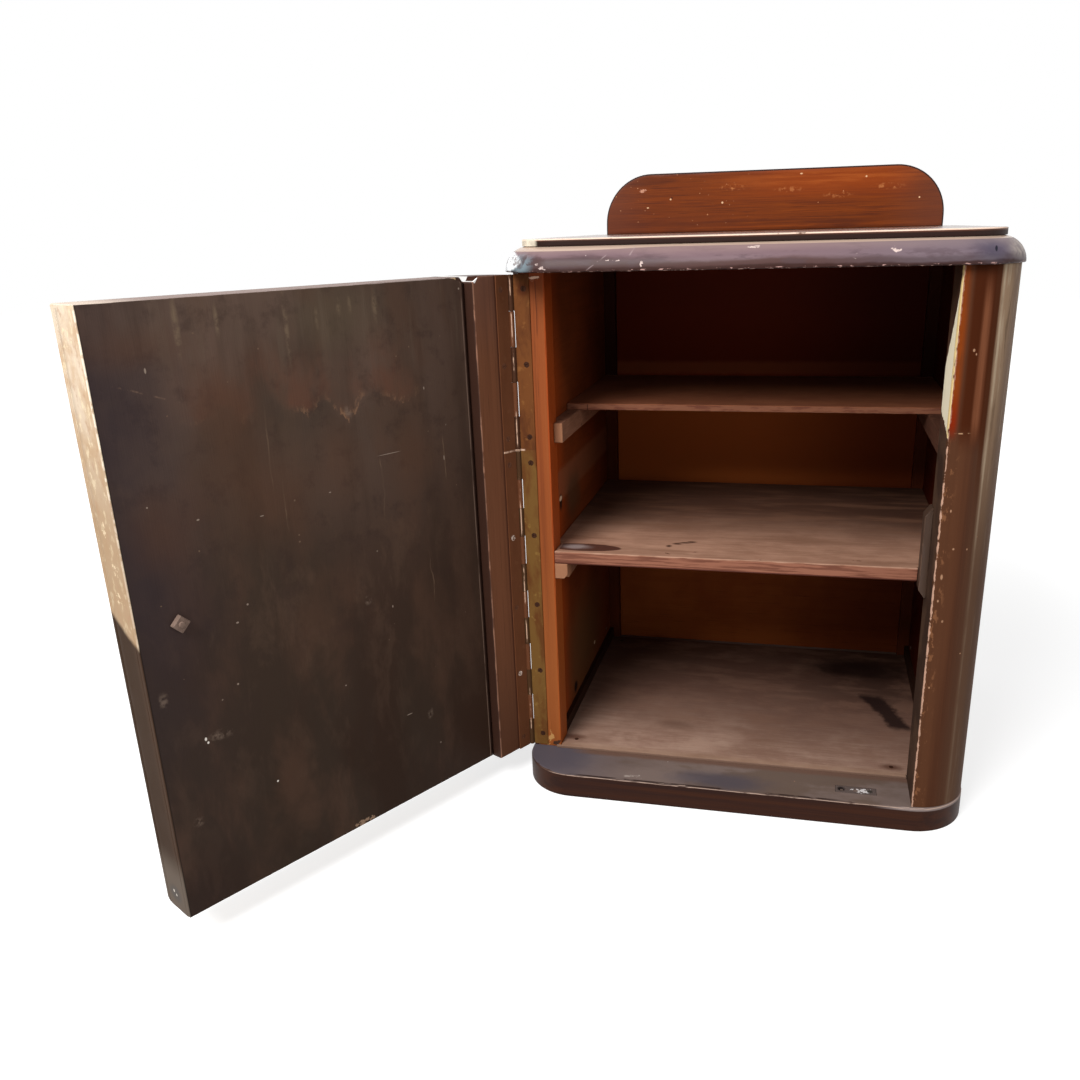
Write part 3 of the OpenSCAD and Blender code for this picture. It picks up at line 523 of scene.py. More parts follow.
def post_finish():
    """The post: red-orange beside the worn arris, pale bare wood high on its inner face under a painted sun patch,
    painted reflections in upright bands above, grey-brown below.
    """
    f = Finish("post_varnish", (84, 51, 34), 0.55)
    streak, figure = f.grain("z", 1.1, 60)[:2]
    f.tones(figure, 0.6, (63, 36, 25), streak, 0.4, (92, 54, 35))
    inner = f.fade("x", 157.1, 157.6, 1, 0)
    tall = f.tall(0.08)
    drift = f.noise(tall, 60, 4, 0.6)
    across = f.scaled(drift, 0.003, f.less(f.x, 0.0015))
    low, high = f.fade("z", 370, 340), f.fade("z", 340, 370)
    # Below z 358 it is a plain brown, a little lighter beside the arris and greyer round the corner, where a sheen is
    # painted.
    f.layer([low, f.span(across, 0.158, 0.18, 0.55, 0)], (88, 56, 37))
    f.layer([low, f.span(across, 0.172, 0.19, 0, 0.6)], (84, 61, 47))
    # Above it come upright bands: a painted orange glow beside the arris, dark, a pinkish painted reflection, dark,
    # and a grey band that is a painted reflection with pale painted highlight streaks.
    f.layer([high, f.span(across, 0.163, 0.167), 0.9], (64, 27, 10))
    pink = f.times(f.span(across, 0.1722, 0.1758), f.span(across, 0.1818, 0.1782), f.fade("z", 345, 375),
                  f.fade("z", 488, 450))
    f.layer([pink, f.span(streak, 0.3, 0.6, 0.6, 0.9)], (122, 74, 50))
    f.layer([f.span(across, 0.1806, 0.1826), f.span(across, 0.187, 0.1846), f.fade("z", 270, 380, 0, 0.9)],
            (70, 37, 21))
    streaks = f.noise(tall, 210, 4, 0.6)
    # This grey band is a painted reflection of the sky, and its pale streaks are painted highlights.
    rubbed = f.times(f.span(across, 0.1846, 0.1868), f.fade("y", -140, -133, 1, 0.45),
                    f.span(streak, 0.3, 0.6, 0.85, 1), f.fade("z", 220, 440, 0.1, 1))
    f.layer(rubbed, f.mix(f.span(across, 0.192, 0.199), (150, 124, 100), (128, 106, 90)), 0.5)
    f.layer([rubbed, f.span(streaks, 0.44, 0.34, 0, 0.6)], (88, 68, 52), 0.5)
    f.layer([rubbed, f.most(f.times(f.span(across, 0.1866, 0.1874), f.span(across, 0.1892, 0.188)),
                            f.span(streaks, 0.56, 0.66, 0, 0.6)), f.cloud((30, 3), 0.3, 0.6, 0.3, 1)],
            (178, 158, 134), 0.5)
    glow = f.times(f.span(across, 0.16, 0.165, 1, 0), f.fade("z", 352, 368), f.fade("z", 486, 440, 0.7, 1))
    glow = f.times(glow, f.cloud((130, 4, 0.6), 0.32, 0.5, 0.45, 1, at=tall))
    f.layer(glow, f.mix(f.fade("z", 400, 368), (124, 56, 18), (122, 37, 12)))
    near = f.times(f.span(across, 0.169, 0.16), f.cloud((190, 4, 0.65), 0.55, 0.62, at=f.stretch(1, 1, 0.5)),
                  f.fade("z", 360, 340))
    f.layer([near, 0.6], (138, 92, 62), 0.6)
    f.layer(f.flecks(90, 0.1, 0.1), (150, 112, 86), 0.6)
    low_in = f.mix(f.cloud((22, 4), 0.4, 0.6), (81, 62, 50), (60, 46, 39))
    f.layer([inner, 0.9], low_in, 0.55)
    arris = f.vectors("LENGTH", f.vectors("MULTIPLY", f.vectors("SUBTRACT", f.at, (0.157, -0.1725, 0)), (1, 1, 0)))
    worn = f.worn(0.62, 190, f.span(arris, 0.0006, 0.003, 1, 0))
    f.layer([worn, f.fade("z", 360, 350, 0.5, 1)], (186, 146, 124), 0.75)
    # A pale wedge of bare wood, brightened as a painted sun patch, widens downwards: its rear edge is a painted
    # shadow line running from y -164 at the top to -111 at z 376.
    rear = f.fade("z", 376, 482, -0.1115, -0.166)
    jag = f.scaled(f.noise(f.at, 140, 4), 0.006, -0.003)
    slant = f.scaled(f.y, -0.28, f.maths("ADD", f.z, f.times(jag, 2)))
    bare = f.times(inner, f.span(f.less(f.maths("ADD", f.y, jag), rear), -0.0005, 0.0005, 1, 0),
                  f.span(slant, 0.4045, 0.4055))
    f.layer(bare, (255, 244, 214), 0.8)
    f.layer([bare, f.fade("y", -165, -163.5, 1, 0)], (255, 224, 156))
    f.layer([bare, f.band("y", -163.9, -162.9, 0.3)], (190, 160, 118))
    f.layer([f.specks("x", "z", [(168, 360.5, 5, 0.5)], 0.5), f.cloud((330, 3), 0.42, 0.55)], (170, 132, 100), 0.6)
    f.layer(f.specks("x", "z", [(170, 424, 0.8, 1.1), (172, 421, 0.5, 0.8), (165, 298, 0.6, 1.2),
                                (170, 266, 0.8, 0.9), (181, 265, 0.5, 0.8), (163, 242, 0.9, 2.2),
                                (162, 221, 0.7, 1.1), (185, 172, 0.6, 0.6), (162, 142, 0.6, 0.9)], 0.4),
            (164, 124, 96), 0.6)
    f.raise_by(streak, 0.3)
    f.raise_by(bare, -1)
    return f.done(0.2, specular=0.02)


def stop_finish():
    f = dark_varnish("stop_varnish", "z")
    f.layer(0.75, (70, 56, 46), 0.5)
    return f.done(0.2, specular=0.25)


def moulding_finish():
    """Moulding: purple-grey above as a painted sky reflection, red-brown below, flaked at its left corner under a
    painted highlight, with small pale chips.
    """
    f = Finish("moulding_varnish", (74, 47, 43), 0.42)
    long = f.stretch(0.3, 1, 1)
    fog = f.noise(long, 34, 5, 0.65)
    height = f.scaled(fog, 0.009, f.less(f.z, 0.0045))
    # The purple-grey upper half, greyer to the right, is a painted reflection of the sky.
    f.layer(f.span(height, 0.4916, 0.4956), (116, 93, 98))
    f.layer(f.span(height, 0.4968, 0.504), (137, 112, 111))
    f.layer(f.fade("x", 20, 170, 0, 0.45), (100, 96, 106))
    f.layer([f.fade("x", 0, -130), f.span(height, 0.499, 0.495, 0, 0.85)], (66, 42, 40))
    f.layer([f.cloud((90, 5, 0.65), 0.5, 0.62, 0, 0.5, at=long), f.span(height, 0.501, 0.495, 0.3, 1)], (72, 54, 58))
    f.layer(f.span(height, 0.49, 0.488, 0, 0.9), (48, 23, 17))
    # A pale painted highlight along the top of the quarter round, under the panel.
    ledge = f.span(f.scaled(f.fade("x", -60, -140), 0.0016, f.z), 0.5036, 0.5041)
    f.layer(ledge, (186, 160, 142), 0.5)
    f.layer(f.flecks(110, 0.08, 0.09), (180, 162, 158), 0.6)
    chips = f.most(*(f.scuff((x, -178, z), (a, 20, b), share, 330, (0.5, 1, 1)) for x, z, a, b, share in (
        (-161, 489.8, 6, 2.4, 0.6), (-167, 492.5, 2.2, 1.4, 0.6), (-105, 494.5, 6, 1.5, 0.5),
        (-82, 491.5, 1.6, 3.4, 0.5), (3, 502.2, 8, 1.3, 0.5), (80, 493.5, 4, 3, 0.3), (108, 498.2, 6, 3.6, 0.4))))
    f.layer(chips, (206, 184, 176), 0.6)
    # Its lower arris is flaked in a thin, broken line.
    flakes = f.times(f.band("z", 486.7, 487.7, 0.25), f.cloud((210, 5, 0.7), 0.56, 0.62, at=f.stretch(0.8, 1, 1)))
    f.layer(flakes, (176, 138, 130), 0.6)
    for start, end in (((-126, 487.6), (-110, 499)), ((-92, 498), (-89, 504))):
        f.layer([f.scratch("x", start, end, 1.2), f.cloud((160, 4), 0.44, 0.6, 0, 0.6)], (164, 144, 144), 0.5)
    worn = f.worn(0.44, 230)
    f.layer(worn, (186, 148, 136), 0.7)
    dirt = f.times(f.patch((-172, -170, 493), (22, 14, 6), 0.9, 0.4, 70), f.cloud((120, 5, 0.7), 0.46, 0.54))
    # A painted highlight, cyan and white, on the flaked left corner.
    f.layer([f.patch((-183, -168, 492), (13, 12, 7), 0.9, 0.6, 60), 0.75], (124, 142, 150), 0.35)
    corner = f.patch((-199, -148, 494), (18, 34, 7.4), 1, 0.14, 110)
    f.layer(corner, (240, 244, 246), 0.5)
    f.layer([corner, f.cloud((150, 5, 0.7), 0.52, 0.58, 0, 0.8)], (116, 100, 96), 0.5)
    f.layer([dirt, 0.75], (70, 48, 46), 0.5)
    # A painted highlight on the right corner.
    shine = f.patch((200, -152, 498), (10, 26, 7), 1, 0.7, 80)
    f.layer([shine, f.cloud((130, 4, 0.6), 0.36, 0.6, 0.3, 0.9)], (176, 164, 154), 0.5)
    f.layer([f.patch((176, -171, 497), (13, 10, 7), 0.9, 0.9, 40), 0.5], (64, 64, 88), 0.4)
    f.layer(f.specks("x", "z", [(DENT[0], DENT[2], 0.9, 2)]), (22, 20, 34))
    f.raise_by(f.noise(f.at, 70, 3), 0.5)
    f.raise_by(worn, -0.4)
    return f.done(0.2, coat=f.between(ledge, 0.04, 0.8), coat_rough=0.2, specular=0.14)


def panel_finish():
    """The raised panel: worn brown under a gloss, pale along its front edge from wear and a painted reflection, a
    painted highlight on its left end, painted shade on its narrow side.
    """
    f = varnish("top_panel_varnish", "x", (80, 46, 33), (62, 35, 25), (98, 60, 42), 0.42)
    top = f.span(f.up, 0.75, 0.9)
    cloud = f.scaled(f.noise(f.at, 16, 5, 0.62), 0.1, f.y)
    # Pale towards the front: bleached varnish with a painted reflection.
    pale = f.most(f.span(cloud, -0.1, -0.04, 0.8, 0),
                  f.cloud((26, 6, 0.65), 0.4, 0.7, 0, 0.6, at=f.stretch(0.3, 1, 1)))
    f.layer([top, pale], (132, 92, 70), 0.5)
    # Painted shade darkens the narrow side.
    f.layer(f.fade("z", 509.8, 509.2), (34, 15, 9), 0.55)
    # A painted highlight on the rounded left end.
    f.layer([f.fade("x", -170, -174), f.fade("y", -90, -130, 0.1, 1), f.cloud((90, 4), 0.4, 0.55, 0.7, 1)],
            (234, 222, 200), 0.6)
    f.layer([top, f.flecks(50, 0.05, 0.1)], (56, 34, 26))
    # The top arris is worn, with a painted reflection that is stronger towards the front.
    edge = f.times(f.fade("z", 510.3, 510.8), f.cloud((130, 4, 0.6), 0.3, 0.4))
    f.layer([edge, f.fade("y", -125, -158, 0.06, 0.9)], (246, 214, 192), 0.7)
    return f.done(0.2, coat=f.times(top, 0.9), coat_rough=0.2, specular=0.15)


def upstand_finish():
    """Reddish upstand: fine dark lines, an orange glow to the upper right, dark rim and ends, pale nicks."""
    f = varnish("upstand_varnish", "x", (118, 52, 10), (100, 43, 9), (138, 66, 12), 0.45, 1.2, 60)
    line = f.grain("x", 0.9, 90)[0]
    thick = f.noise(f.stretch(0.05, 1, 1), 260, 4, 0.6)
    f.layer(f.span(line, 0.5, 0.64, 0, 0.6), (78, 30, 13))
    f.layer(f.span(thick, 0.52, 0.66, 0, 0.5), (72, 28, 13))
    wide = f.noise(f.stretch(0.16, 1, 1), 60, 3, 0.5)
    f.layer(f.span(wide, 0.56, 0.72, 0, 0.5), (66, 26, 14))
    warm = f.times(f.fade("x", -100, 60), f.fade("z", 532, 560), f.fade("x", 168, 130))
    f.layer([warm, 0.75], (140, 58, 12))
    ends = f.most(f.fade("x", 105, 176), f.fade("x", -120, -176))
    f.layer([ends, 0.65], (100, 54, 38))
    f.layer([f.fade("z", 550, 516), f.fade("x", 0, -100), 0.4], (88, 38, 18))
    f.layer(f.flecks(120, 0.16, 0.06), (190, 130, 86), 0.7)
    small = f.times(f.flecks(260, 0.16, 0.12), f.fade("x", 20, -100))
    f.layer(small, (196, 140, 100), 0.7)
    f.layer(f.scuff((-137, 158, 556), (6, 8, 3), 0.45, 420), (190, 136, 110), 0.6)
    f.layer([f.patch((60, 158, 562), (90, 8, 7), 0.9, 0.8, 40), f.span(thick, 0.4, 0.6, 0, 0.6)], (164, 82, 30))
    f.layer(f.specks("x", "z", [(-106, 546, 0.9, 0.9), (-50, 541, 1, 1), (-131, 538, 1.2, 0.6), (32, 567, 1.3, 0.7),
                                (98, 562, 0.9, 0.9), (152, 540, 0.8, 0.8)]), (224, 180, 138), 0.6)
    f.layer(f.specks("x", "z", [(-104.6, 547.4, 0.8, 0.8)]), (48, 18, 10))
    for x, z, strong in ((-40, 556, 0.7), (20, 552, 0.5), (120, 552, 0.6), (70, 545, 0.4)):
        mark = f.times(f.patch((x, 158, z), (12, 8, 2.4), 1.2, 0.6, 130),
                      f.span(f.noise(f.at, 240, 4), 0.5, 0.6, 0, strong))
        f.layer(mark, (186, 116, 66), 0.6)
    f.layer(f.span(f.wear, 0.15, 0.5), (46, 27, 22), 0.55)
    return f.done(0.15, coat=0.04, coat_rough=0.2, specular=0.1)


def stained(name, along, base, dark, light):
    """Thinly stained wood inside the cabinet, matt, with soft clouds instead of strong grain."""
    f = Finish(name, base, 0.6)
    streak, figure, pores = f.grain(along, 1.6, 70)[:]
    f.layer(f.cloud((12, 4, 0.6), 0.36, 0.66), dark)
    f.layer([f.span(figure, 0.38, 0.66), 0.5], dark)
    f.layer(f.span(streak, 0.45, 0.8, 0, 0.35), light)
    f.layer([pores, 0.4], (44, 18, 8))
    f.raise_by(streak, 0.4)
    return f


def back_finish():
    """Back board: orange-brown, with painted shade darkening the upper compartment and the right side, unvarnished
    outside.
    """
    f = stained("back_panel_stain", "x", (155, 81, 34), (138, 67, 27), (166, 90, 42))
    f.layer(f.band("z", 232, 345, 8), (176, 91, 38))
    # Painted shade darkens the upper compartment.
    f.layer(f.fade("z", 345, 360, 0, 1), (112, 36, 8))
    f.layer(f.fade("z", 380, 460, 0, 0.6), (80, 24, 5))
    f.layer([f.band("z", 357, 371, 3, 3), 0.8], (150, 78, 44))
    # Painted shade darkens the right side.
    f.layer(f.fade("x", -30, 150, 0, 0.8), (150, 120, 120), mode="MULTIPLY")
    outside = f.fade("y", 170, 171.5)
    fibre = f.noise(f.stretch(1, 1, 0.06), 120, 5, 0.65)
    f.layer(outside, f.mix(f.span(fibre, 0.34, 0.66), (150, 118, 90), (116, 87, 64)), 0.75)
    f.layer([outside, f.cloud((9, 5, 0.6), 0.44, 0.68, 0, 0.6)], (92, 68, 50))
    return f.done(0.2, specular=0.06)


def wall_finish():
    """Side liners: orange towards the front and lower down as painted light, so dark at the top; a paler band between
    the shelves, a grey scuffed part low down; the right liner darkened as painted shade.
    """
    f = stained("wall_stain", "y", (118, 54, 24), (98, 44, 19), (132, 70, 36))
    # Painted light: orange towards the front and lower down.
    f.layer([f.fade("y", -98, -40, 0.95, 0), f.fade("z", 460, 360, 0.55, 1)], (154, 64, 20))
    f.layer([f.band("z", 268, 298, 3, 5), 0.45], (140, 92, 66))
    f.layer([f.patch((-181, -20, 262), (30, 26, 22), 1, 0.5, 40), 0.6], (70, 56, 40))
    f.layer([f.patch((-181, 16, 84), (30, 80, 54), 1, 0.8, 24), 0.75], (86, 62, 38))
    f.layer(f.patch((-181, -36, 48), (6, 7, 6), 0.7, 0.4, 120), (24, 14, 12))
    f.layer(f.patch((-181, -74, 266), (6, 5, 8), 0.6, 0.4, 120), (46, 26, 18))
    f.layer(f.specks("y", "z", [(-74, 270, 5, 2.4), (62, 58, 3.4, 2)]), (214, 186, 156), 0.5)
    # Painted shade darkens the right liner.
    f.layer(f.fade("x", 0, 100), (150, 112, 104), mode="MULTIPLY")
    return f.done(0.2, specular=0.06)


def timber_finish():
    f = stained("inner_timber", "z", (96, 42, 18), (76, 33, 15), (110, 54, 27))
    # Painted shade darkens the upper compartment.
    f.layer(f.fade("z", 335, 360, 0, 0.85), (46, 14, 5))
    return f.done(0.2, specular=0.06)


def cleat_finish():
    return stained("floor_cleat_stain", "y", (48, 27, 18), (38, 22, 15), (66, 38, 26)).done(0.2, specular=0.06)


def bare_wood(name, along, base, dark, light):
    """Bare softwood gone grey-brown: soft clouds, short fibres and scattered dark dashes."""
    f = Finish(name, base, 0.7)
    streak, figure, pores = f.grain(along, 1.5, 26)[:]
    f.layer(f.cloud((18, 5, 0.62), 0.38, 0.64), dark)
    f.layer([f.span(figure, 0.4, 0.64), 0.5], dark)
    f.layer(f.span(streak, 0.44, 0.76, 0, 0.6), light)
    f.layer([pores, 0.35], dark)
    f.raise_by(streak, 0.6)
    return f


def upper_shelf_finish():
    f = bare_wood("upper_shelf_wood", "x", (150, 92, 64), (132, 78, 54), (168, 108, 78))
    # Painted shade darkens it towards the back.
    f.layer(f.fade("y", 0, 120, 0, 0.5), (96, 54, 34))
    front = f.times(f.fade("y", -37.8, -37.2, 1, 0), f.maths("LESS_THAN", f.up, 0.5))
    f.layer(front, (134, 86, 64))
    f.layer([front, f.cloud((260, 3), 0.48, 0.62, at=f.stretch(0.2, 1, 1))], (112, 66, 50))
    f.layer([front, f.band("x", -160.4, -159.6, 0.3)], (52, 26, 18))
    return f.done(0.25, specular=0.08)


def middle_shelf_finish():
    """The middle shelf: painted shade darkens it towards the back and right, a tongue-shaped burnish at the front
    left, knots and nicks.
    """
    f = bare_wood("middle_shelf_wood", "x", (174, 132, 109), (153, 113, 92), (189, 149, 126))
    cloud = f.scaled(f.noise(f.stretch(0.3, 1, 1), 20, 4), 0.06, f.y)
    # Painted shade darkens it towards the back and right.
    f.layer(f.span(cloud, -0.07, 0.08, 0, 0.9), (66, 40, 29))
    f.layer([f.fade("x", 40, 160), f.fade("y", -80, 20, 0, 0.6)], (58, 36, 27))
    long = f.noise(f.stretch(0.2, 1, 1), 60, 4, 0.6)
    f.layer(f.span(long, 0.44, 0.68, 0, 0.5), (122, 86, 66))
    front = f.times(f.maths("LESS_THAN", f.up, 0.5), f.fade("y", -122.8, -122.2, 1, 0))
    f.layer(front, (144, 94, 74))
    plies = f.noise(f.stretch(0.05, 1, 1), 420, 4, 0.6)
    f.layer([front, f.span(plies, 0.46, 0.58, 0, 0.85)], (104, 62, 48))
    f.layer([front, f.band("z", 219, 221.4, 0.5)], (84, 44, 34))
    f.layer([f.fade("z", 230.6, 231.4), f.fade("y", -121.6, -122.8),
             f.cloud((90, 3), 0.4, 0.6, 0.1, 0.9, at=f.stretch(0.4, 1, 1))], (176, 136, 114))
    tongue = f.patch((-152, -107, 232), (36, 11, 4), 0.14, 0.05)
    f.layer([tongue, f.fade("x", -174, -173)], (84, 52, 42), 0.42)
    f.layer([f.patch((-160, -106, 232), (13, 6, 4), 0.9, 0.6, 90), 0.75], (160, 144, 140), 0.4)
    for x, y, a, b in ((-47, -106, 9, 1.6), (-69, -113, 3.5, 1.4), (96, -112, 11, 1.5), (20, -120, 6, 1.2)):
        f.layer(f.scuff((x, y, 232), (a * 1.5, b * 2.4, 4), 0.4, 200, (0.4, 1, 1)), (88, 52, 38))
    f.layer(f.specks("x", "y", [(-52, -77, 4, 2.4), (-58, -80, 5, 2), (-65, -84, 4, 2.4), (-72, -92, 2.4, 3)], 0.7),
            (70, 44, 33))
    return f.done(0.25, specular=0.1)


def floor_finish():
    """The floor board: lighter at the front and darker towards the back and right as painted light and shade, two
    dark stains by the post, rust round the front nails.
    """
    f = bare_wood("floor_board_wood", "x", (170, 138, 120), (148, 115, 99), (182, 152, 133))
    cloud = f.scaled(f.noise(f.stretch(0.4, 1, 1), 18, 5, 0.6), 0.1, f.y)
    # Painted shade darkens it towards the back and right.
    f.layer(f.span(cloud, -0.09, 0.07, 0, 0.85), (88, 60, 49))
    f.layer([f.fade("x", 20, 150), f.fade("y", -30, 70, 0, 0.6)], (48, 31, 25))
    f.layer(f.span(cloud, 0.08, 0.2, 0, 0.6), (66, 38, 26))
    blotch = f.noise(f.stretch(0.6, 1, 1), 34, 5, 0.62)
    f.layer(f.span(blotch, 0.48, 0.66, 0, 0.45), (124, 92, 76))
    long = f.noise(f.stretch(0.25, 1, 1), 60, 4, 0.6)
    f.layer(f.span(long, 0.46, 0.7, 0, 0.45), (126, 94, 78))
    f.layer([f.patch((122, 104, 26.5), (50, 24, 8), 1, 0.5, 40), 0.92], (34, 18, 14))
    away = f.plain(f.scaled(f.y, 0.4, f.less(f.x, 0.147)))
    away = f.scaled(f.noise(f.at, 60, 5, 0.7), 0.02, away)
    f.layer([f.span(away, 0.025, 0.017), f.band("y", -34, 38, 7, 14, 60), 0.92], (34, 20, 18))
    f.layer([f.patch((-66, -62, 26.5), (18, 9, 8), 1.2, 0.8, 60), 0.5], (96, 70, 58))
    for x, y in ((-165.6, -106.4), (143.8, -110.9)):
        f.layer([f.patch((x, y, 26.5), (9, 5, 5), 0.9, 0.7, 110), 0.8], (86, 54, 42))
    # Painted light brightens the front.
    f.layer(f.fade("y", -112, -125, 0, 0.35), (158, 126, 100))
    f.layer(f.fade("y", -125.8, -126.3), (116, 90, 76))
    return f.done(0.25, specular=0.1)


def runner_finish():
    f = bare_wood("runner_wood", "y", (140, 96, 74), (120, 80, 60), (160, 116, 92))
    f.layer([f.fade("y", -107.5, -109.5, 0, 0.8), f.fade("x", 0, -100)], (156, 108, 78))
    # Painted shade darkens the right runners.
    f.layer(f.fade("x", 0, 100), (150, 140, 138), mode="MULTIPLY")
    f.layer(f.flecks(120, 0.2, 0.3), (96, 62, 46))
    return f.done(0.3, specular=0.15)


def stile_finish():
    """The orange front stile: straight grain, a dark crack, pale chips and a broken patch at its foot."""
    f = varnish("stile_wood", "z", (140, 72, 34), (122, 60, 28), (154, 84, 42), 0.5, 1.4, 120)
    f.layer(f.fade("x", -178.5, -176.8), (160, 70, 26))
    f.layer(f.fade("z", 463, 484, 0, 0.8), (124, 52, 20))
    f.layer(f.fade("z", 300, 100, 0, 0.5), (158, 90, 42))
    f.layer(f.line(-184.5, 432, 478, 2, 0.7, 0.3), (74, 30, 14))
    f.layer(f.scuff((-188, -124, 479.5), (11, 8, 2.4), 0.55, 380, (0.4, 1, 1)), (236, 196, 170), 0.6)
    f.layer(f.scuff((-190, -124, 34), (8, 8, 9), 0.62, 170), (186, 138, 84))
    f.layer(f.scuff((-180, -124, 28), (6, 8, 4), 0.6, 170), (62, 42, 34))
    return f.done(0.2, specular=0.12)


def door_inner_finish():
    """Inner face of the door: dull dark varnish in soft clouds, with stains that end in ragged pale crests,
    runs from the top edge and many small nicks."""
    f = Finish("door_inner_varnish", (62, 45, 36), 0.5, door=True)
    streak = f.grain("z", 1.6, 90)[0]
    tall = f.tall(0.45)
    # Greyer towards the top: a painted sheen.
    f.layer(f.fade("z", 200, 460), (100, 80, 69))
    f.layer(f.fade("z", 260, 40, 0, 0.9), (44, 28, 18))
    f.layer(f.cloud((8, 4, 0.55, 0.4), 0.42, 0.62, 0, 0.5, at=tall), (58, 47, 38))
    f.layer(f.cloud((15, 5, 0.6, 0.3), 0.48, 0.66, 0, 0.45, at=tall), (90, 64, 50))
    f.layer([f.cloud((34, 5, 0.65, 0.3), 0.5, 0.66, 0, 0.35, at=tall), f.fade("z", 50, 300, 0.4, 1)], (94, 72, 58))
    thin = f.tall(0.15)
    f.layer(f.cloud((30, 5, 0.6, 0.2), 0.48, 0.68, 0, 0.35, at=thin), (50, 38, 30))
    f.layer([f.cloud((44, 5, 0.65), 0.5, 0.68, 0, 0.4), f.fade("z", 100, 300)], (54, 40, 36))
    f.layer(f.fade("x", -60, -160, 0, 0.5), (56, 38, 30))
    cool = f.times(f.fade("x", 60, 150), f.fade("z", 100, 340, 0.2, 1), f.cloud((16, 3), 0.3, 0.6, 0.6, 1))
    f.layer([cool, f.fade("z", 470, 430, 0.5, 1), 0.8], (51, 42, 46))
    # A reddish stain hangs from the upper part and ends in ragged tongues with rubbed crests: its lower edge is
    # the lowest of several Vs, each with its lowest place and slope, roughened by noise.
    edge = f.fold("MINIMUM", [
        f.scaled(f.plain(f.less(f.x, x / 1000)), slope, z / 1000)
        for x, z, slope in ((-36, 383, 0.8), (0, 391, 0.6), (-90, 387, 0.6), (52, 396, 0.7), (90, 394, 0.5))])
    rough = f.scaled(f.noise(f.at, 55, 5, 0.7), 0.03, f.less(f.z, 0.015))
    above = f.less(rough, edge)
    reach = f.times(f.fade("x", -118, -85), f.fade("x", 115, 85))
    stain = f.times(f.span(above, -0.003, 0.009), f.span(above, 0.06, 0.008), reach)
    f.layer([stain, f.cloud((30, 5, 0.65), 0.36, 0.62, 0.1, 0.7, at=tall), f.fade("x", 60, 20, 0.6, 1)],
            (104, 69, 54))
    f.layer([f.span(above, 0.003, -0.01), f.span(above, -0.06, -0.02), reach, 0.25], (60, 50, 42))
    for x, z, a, b in ((62, 364, 26, 44), (28, 338, 26, 30), (-24, 352, 18, 26), (-92, 345, 20, 24),
                       (126, 330, 16, 24), (120, 453, 26, 10), (64, 408, 16, 20)):
        f.layer([f.patch((x, -136, z), (a, 9, b), 1, 0.9, 34), 0.4], (90, 62, 47))
    crest = f.times(f.span(above, -0.001, 0.001), f.span(above, 0.008, 0.002), f.span(edge, 0.401, 0.39), reach)
    f.layer([crest, f.cloud((130, 4, 0.65), 0.42, 0.6, 0, 0.75, at=f.stretch(1, 1, 0.5)),
             f.fade("x", 70, 40, 0.4, 1)], (144, 108, 82))
    # Olive drips below the top edge, and fainter ones to the left of the stain.
    drips = f.most(*(f.patch((x, -136, z), (a, 9, b), 1, 0.8, 90) for x, z, a, b in (
        (9, 458, 1.6, 20), (-17, 461, 1.4, 6), (-37, 468, 1.6, 5), (-47, 468, 1.4, 7), (91, 466, 1.8, 16),
        (62, 466, 1.5, 9), (-70, 466, 2, 9))))
    f.layer([drips, f.cloud((130, 5, 0.65), 0.38, 0.58, 0.05, 0.75)], (124, 104, 84))
    f.layer([f.patch((-34, -136, 462), (34, 9, 20), 0.9, 0.8, 34), 0.45], (98, 83, 66))
    runs = f.noise(f.tall(0.1), 80, 4, 0.6)
    f.layer([f.span(runs, 0.52, 0.72, 0, 0.4), f.fade("z", 400, 460), f.fade("x", 130, 80)], (104, 88, 74))
    # A rubbed line slopes down from the free edge below them.
    f.layer([f.scratch("x", (97, 415), (138, 431), 2.6), f.cloud((95, 5, 0.7), 0.46, 0.62, 0, 0.7)], (124, 98, 82))
    for x, low, high, wander, seed in ((36, 343, 401, 4, 0.2), (28, 310, 345, 4, 0.5), (-62, 300, 348, 5, 0.8),
                                       (-128, 318, 352, 3, 1.3), (-104, 210, 250, 6, 2.4)):
        f.layer([f.line(x, low, high, wander, 0.9, seed), f.cloud((45, 3), 0.4, 0.6, 0.1, 0.45)], (124, 100, 80))
    f.layer(f.flecks(60, 0.07, 0.05), (120, 104, 92), 0.6)
    f.layer([f.flecks(150, 0.05, 0.12), f.fade("z", 100, 300)], (110, 88, 72), 0.6)
    dim = f.most(*(f.patch((x, -136, z), (a, 9, b), 1.1, 0.7, 130) for x, z, a, b in (
        (107, 165.5, 8, 3.5), (144, 208.5, 2.8, 5), (134, 103, 3.4, 3), (-36, 231, 2.6, 3), (-90, 104, 2.6, 4),
        (-36, 389, 3, 4))))
    f.layer([dim, f.cloud((170, 4, 0.6), 0.4, 0.6, 0, 0.4)], (150, 128, 112), 0.6)
    f.layer(f.specks("x", "z", [
        (116.4, 438.4, 0.7, 1.8), (131, 348.7, 0.6, 0.6), (97.3, 332.3, 1.1, 0.6), (48.5, 323.8, 1.6, 0.4),
        (70, 260, 0.8, 0.8), (80, 248.5, 1.1, 0.7), (87, 200.6, 0.8, 0.8), (-60, 218, 0.6, 1.1),
        (-5.5, 164, 0.7, 0.6), (-67, 112, 3, 0.4), (-157, 474, 0.8, 0.8), (-112, 397, 0.6, 1.2),
        (-11.5, 329, 1, 0.45), (-71, 349, 11, 0.28), (-128, 335, 0.5, 2)]), (150, 132, 118), 0.6)
    f.layer(f.specks("x", "z", [(118.4, 167, 0.9, 1.4), (117, 163.6, 0.8, 1), (66.7, 106.8, 0.8, 0.8)]),
            (236, 226, 214), 0.6)
    f.layer(f.scuff((-8.4, -136, 29.5), (13, 10, 4), 0.6, 260), (150, 122, 100), 0.7)
